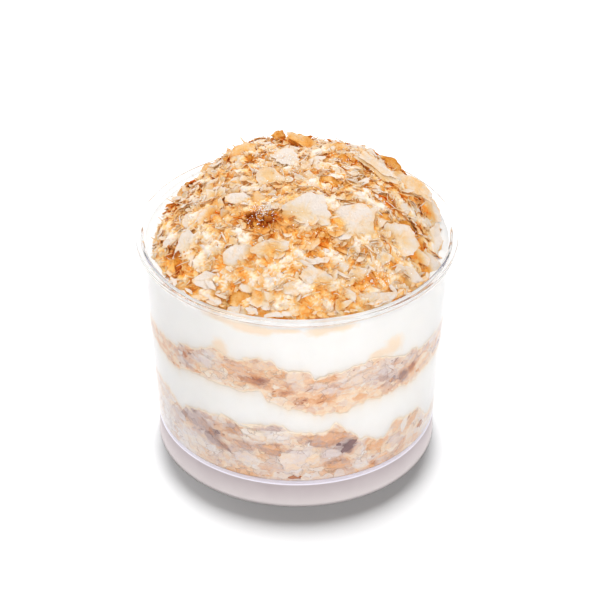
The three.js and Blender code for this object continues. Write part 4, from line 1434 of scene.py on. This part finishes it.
class BuildStage(bpy.types.Operator):
    """Pale floor, soft lamps and the camera at the photo's angle"""

    bl_idname = "dessert.stage"
    bl_label = "Stage and camera"

    def execute(self, context):
        scene = context.scene
        props = scene.dessert_stage
        scene.view_settings.view_transform = "Standard"
        self.world(scene, props.sky)
        floor = self.floor(tuple(props.floor))
        self.lamp("key_lamp", *KEY_LAMP, props.key)
        only = bpy.data.collections.new("lit by the table lamp")
        only.objects.link(floor)
        table = self.lamp("table_lamp", *TABLE_LAMP, props.table)
        table.light_linking.receiver_collection = only
        foot = bpy.data.collections.new("shades the table lamp")
        foot.objects.link(bpy.data.objects["foot_frosting"])
        table.light_linking.blocker_collection = foot
        front = self.lamp("front_lamp", *FRONT_LAMP, props.front)
        front.data.shape = "ELLIPSE"
        front.data.size_y = FRONT_LAMP_HEIGHT
        self.camera(scene)
        return {"FINISHED"}

    def world(self, scene, strength):
        """Even light from all round."""
        world = bpy.data.worlds.new("studio")
        world.use_nodes = True
        back = world.node_tree.nodes["Background"]
        back.inputs["Color"].default_value = SKY_TINT
        back.inputs["Strength"].default_value = strength
        scene.world = world

    def floor(self, colour):
        """A large pale table, which is no part of the object."""
        n = Nodes("pale floor")
        tone = n.ramp(n.noise(6, 2), (0.3, tuple(0.995 * c for c in colour)), (0.7, colour))
        material = n.principled({"Base Color": tone, "Roughness": 0.9, "Specular IOR Level": 0.1})
        mesh = bpy.data.meshes.new("floor")
        half = 3.0
        corners = [(-half, -half, 0), (half, -half, 0), (half, half, 0), (-half, half, 0)]
        mesh.from_pydata(corners, [], [(0, 1, 2, 3)])
        mesh.materials.append(material)
        floor = bpy.data.objects.new("floor", mesh)
        bpy.context.collection.objects.link(floor)
        return floor

    def lamp(self, name, place, aim, size, power):
        """A round lamp aimed at a point."""
        light = bpy.data.lights.new(name, "AREA")
        light.shape = "DISK"
        light.size = size
        light.energy = power
        lamp = bpy.data.objects.new(name, light)
        lamp.location = place
        lamp.rotation_euler = (Vector(aim) - Vector(place)).to_track_quat("-Z", "Y").to_euler()
        bpy.context.collection.objects.link(lamp)
        return lamp

    def camera(self, scene):
        """A camera that shows the point aimed at where the picture has it, turned by the roll."""
        elevation, roll = np.radians(ELEVATION), np.radians(ROLL)
        right = np.array([1.0, 0, 0])
        forward = np.array([0, np.cos(elevation), -np.sin(elevation)])
        up = np.cross(right, forward)
        aim = np.array(AIM)
        place = aim - forward * DISTANCE
        middle = aim + (right * (PICTURE / 2 - AIM_SEEN[0]) - up * (PICTURE / 2 - AIM_SEEN[1])) / SCALE
        forward = (middle - place) / np.linalg.norm(middle - place)
        right = np.cross(forward, up)
        right /= np.linalg.norm(right)
        up = np.cross(right, forward)
        right, up = right * np.cos(roll) + up * np.sin(roll), up * np.cos(roll) - right * np.sin(roll)
        data = bpy.data.cameras.new("camera")
        data.sensor_width = SENSOR
        data.lens = SENSOR * SCALE * DISTANCE / PICTURE
        data.clip_start = 0.01
        camera = bpy.data.objects.new("camera", data)
        axes = Matrix(np.stack([right, up, -forward], 1).tolist()).to_4x4()
        camera.matrix_world = Matrix.Translation(Vector(place.tolist())) @ axes
        bpy.context.collection.objects.link(camera)
        scene.camera = camera


OPERATORS = (BuildCup, BuildCream, BuildPastryLayers, BuildHeap, BuildDust, BuildStage)
PROPS = {"dessert_cup": CupProps, "dessert_food": FoodProps, "dessert_stage": StageProps}


class DessertPanel(bpy.types.Panel):
    """Lists the pieces and their sizes"""

    bl_idname = "VIEW3D_PT_dessert"
    bl_label = "Mille-feuille cup"
    bl_space_type = "VIEW_3D"
    bl_region_type = "UI"
    bl_category = "Dessert"

    def draw(self, context):
        for operator in OPERATORS:
            self.layout.operator(operator.bl_idname)
        for name in PROPS:
            props = getattr(context.scene, name)
            for key in props.__annotations__:
                self.layout.prop(props, key)


CLASSES = (*PROPS.values(), *OPERATORS, DessertPanel)


def register():
    for kind in CLASSES:
        bpy.utils.register_class(kind)
    for name, group in PROPS.items():
        setattr(bpy.types.Scene, name, PointerProperty(type=group))


def unregister():
    for name in PROPS:
        delattr(bpy.types.Scene, name)
    for kind in reversed(CLASSES):
        bpy.utils.unregister_class(kind)


def main():
    register()
    bpy.ops.dessert.cup()
    bpy.ops.dessert.cream()
    bpy.ops.dessert.pastry_layers()
    bpy.ops.dessert.heap()
    bpy.ops.dessert.dust()
    bpy.ops.dessert.stage()


if __name__ == "__main__":
    main()
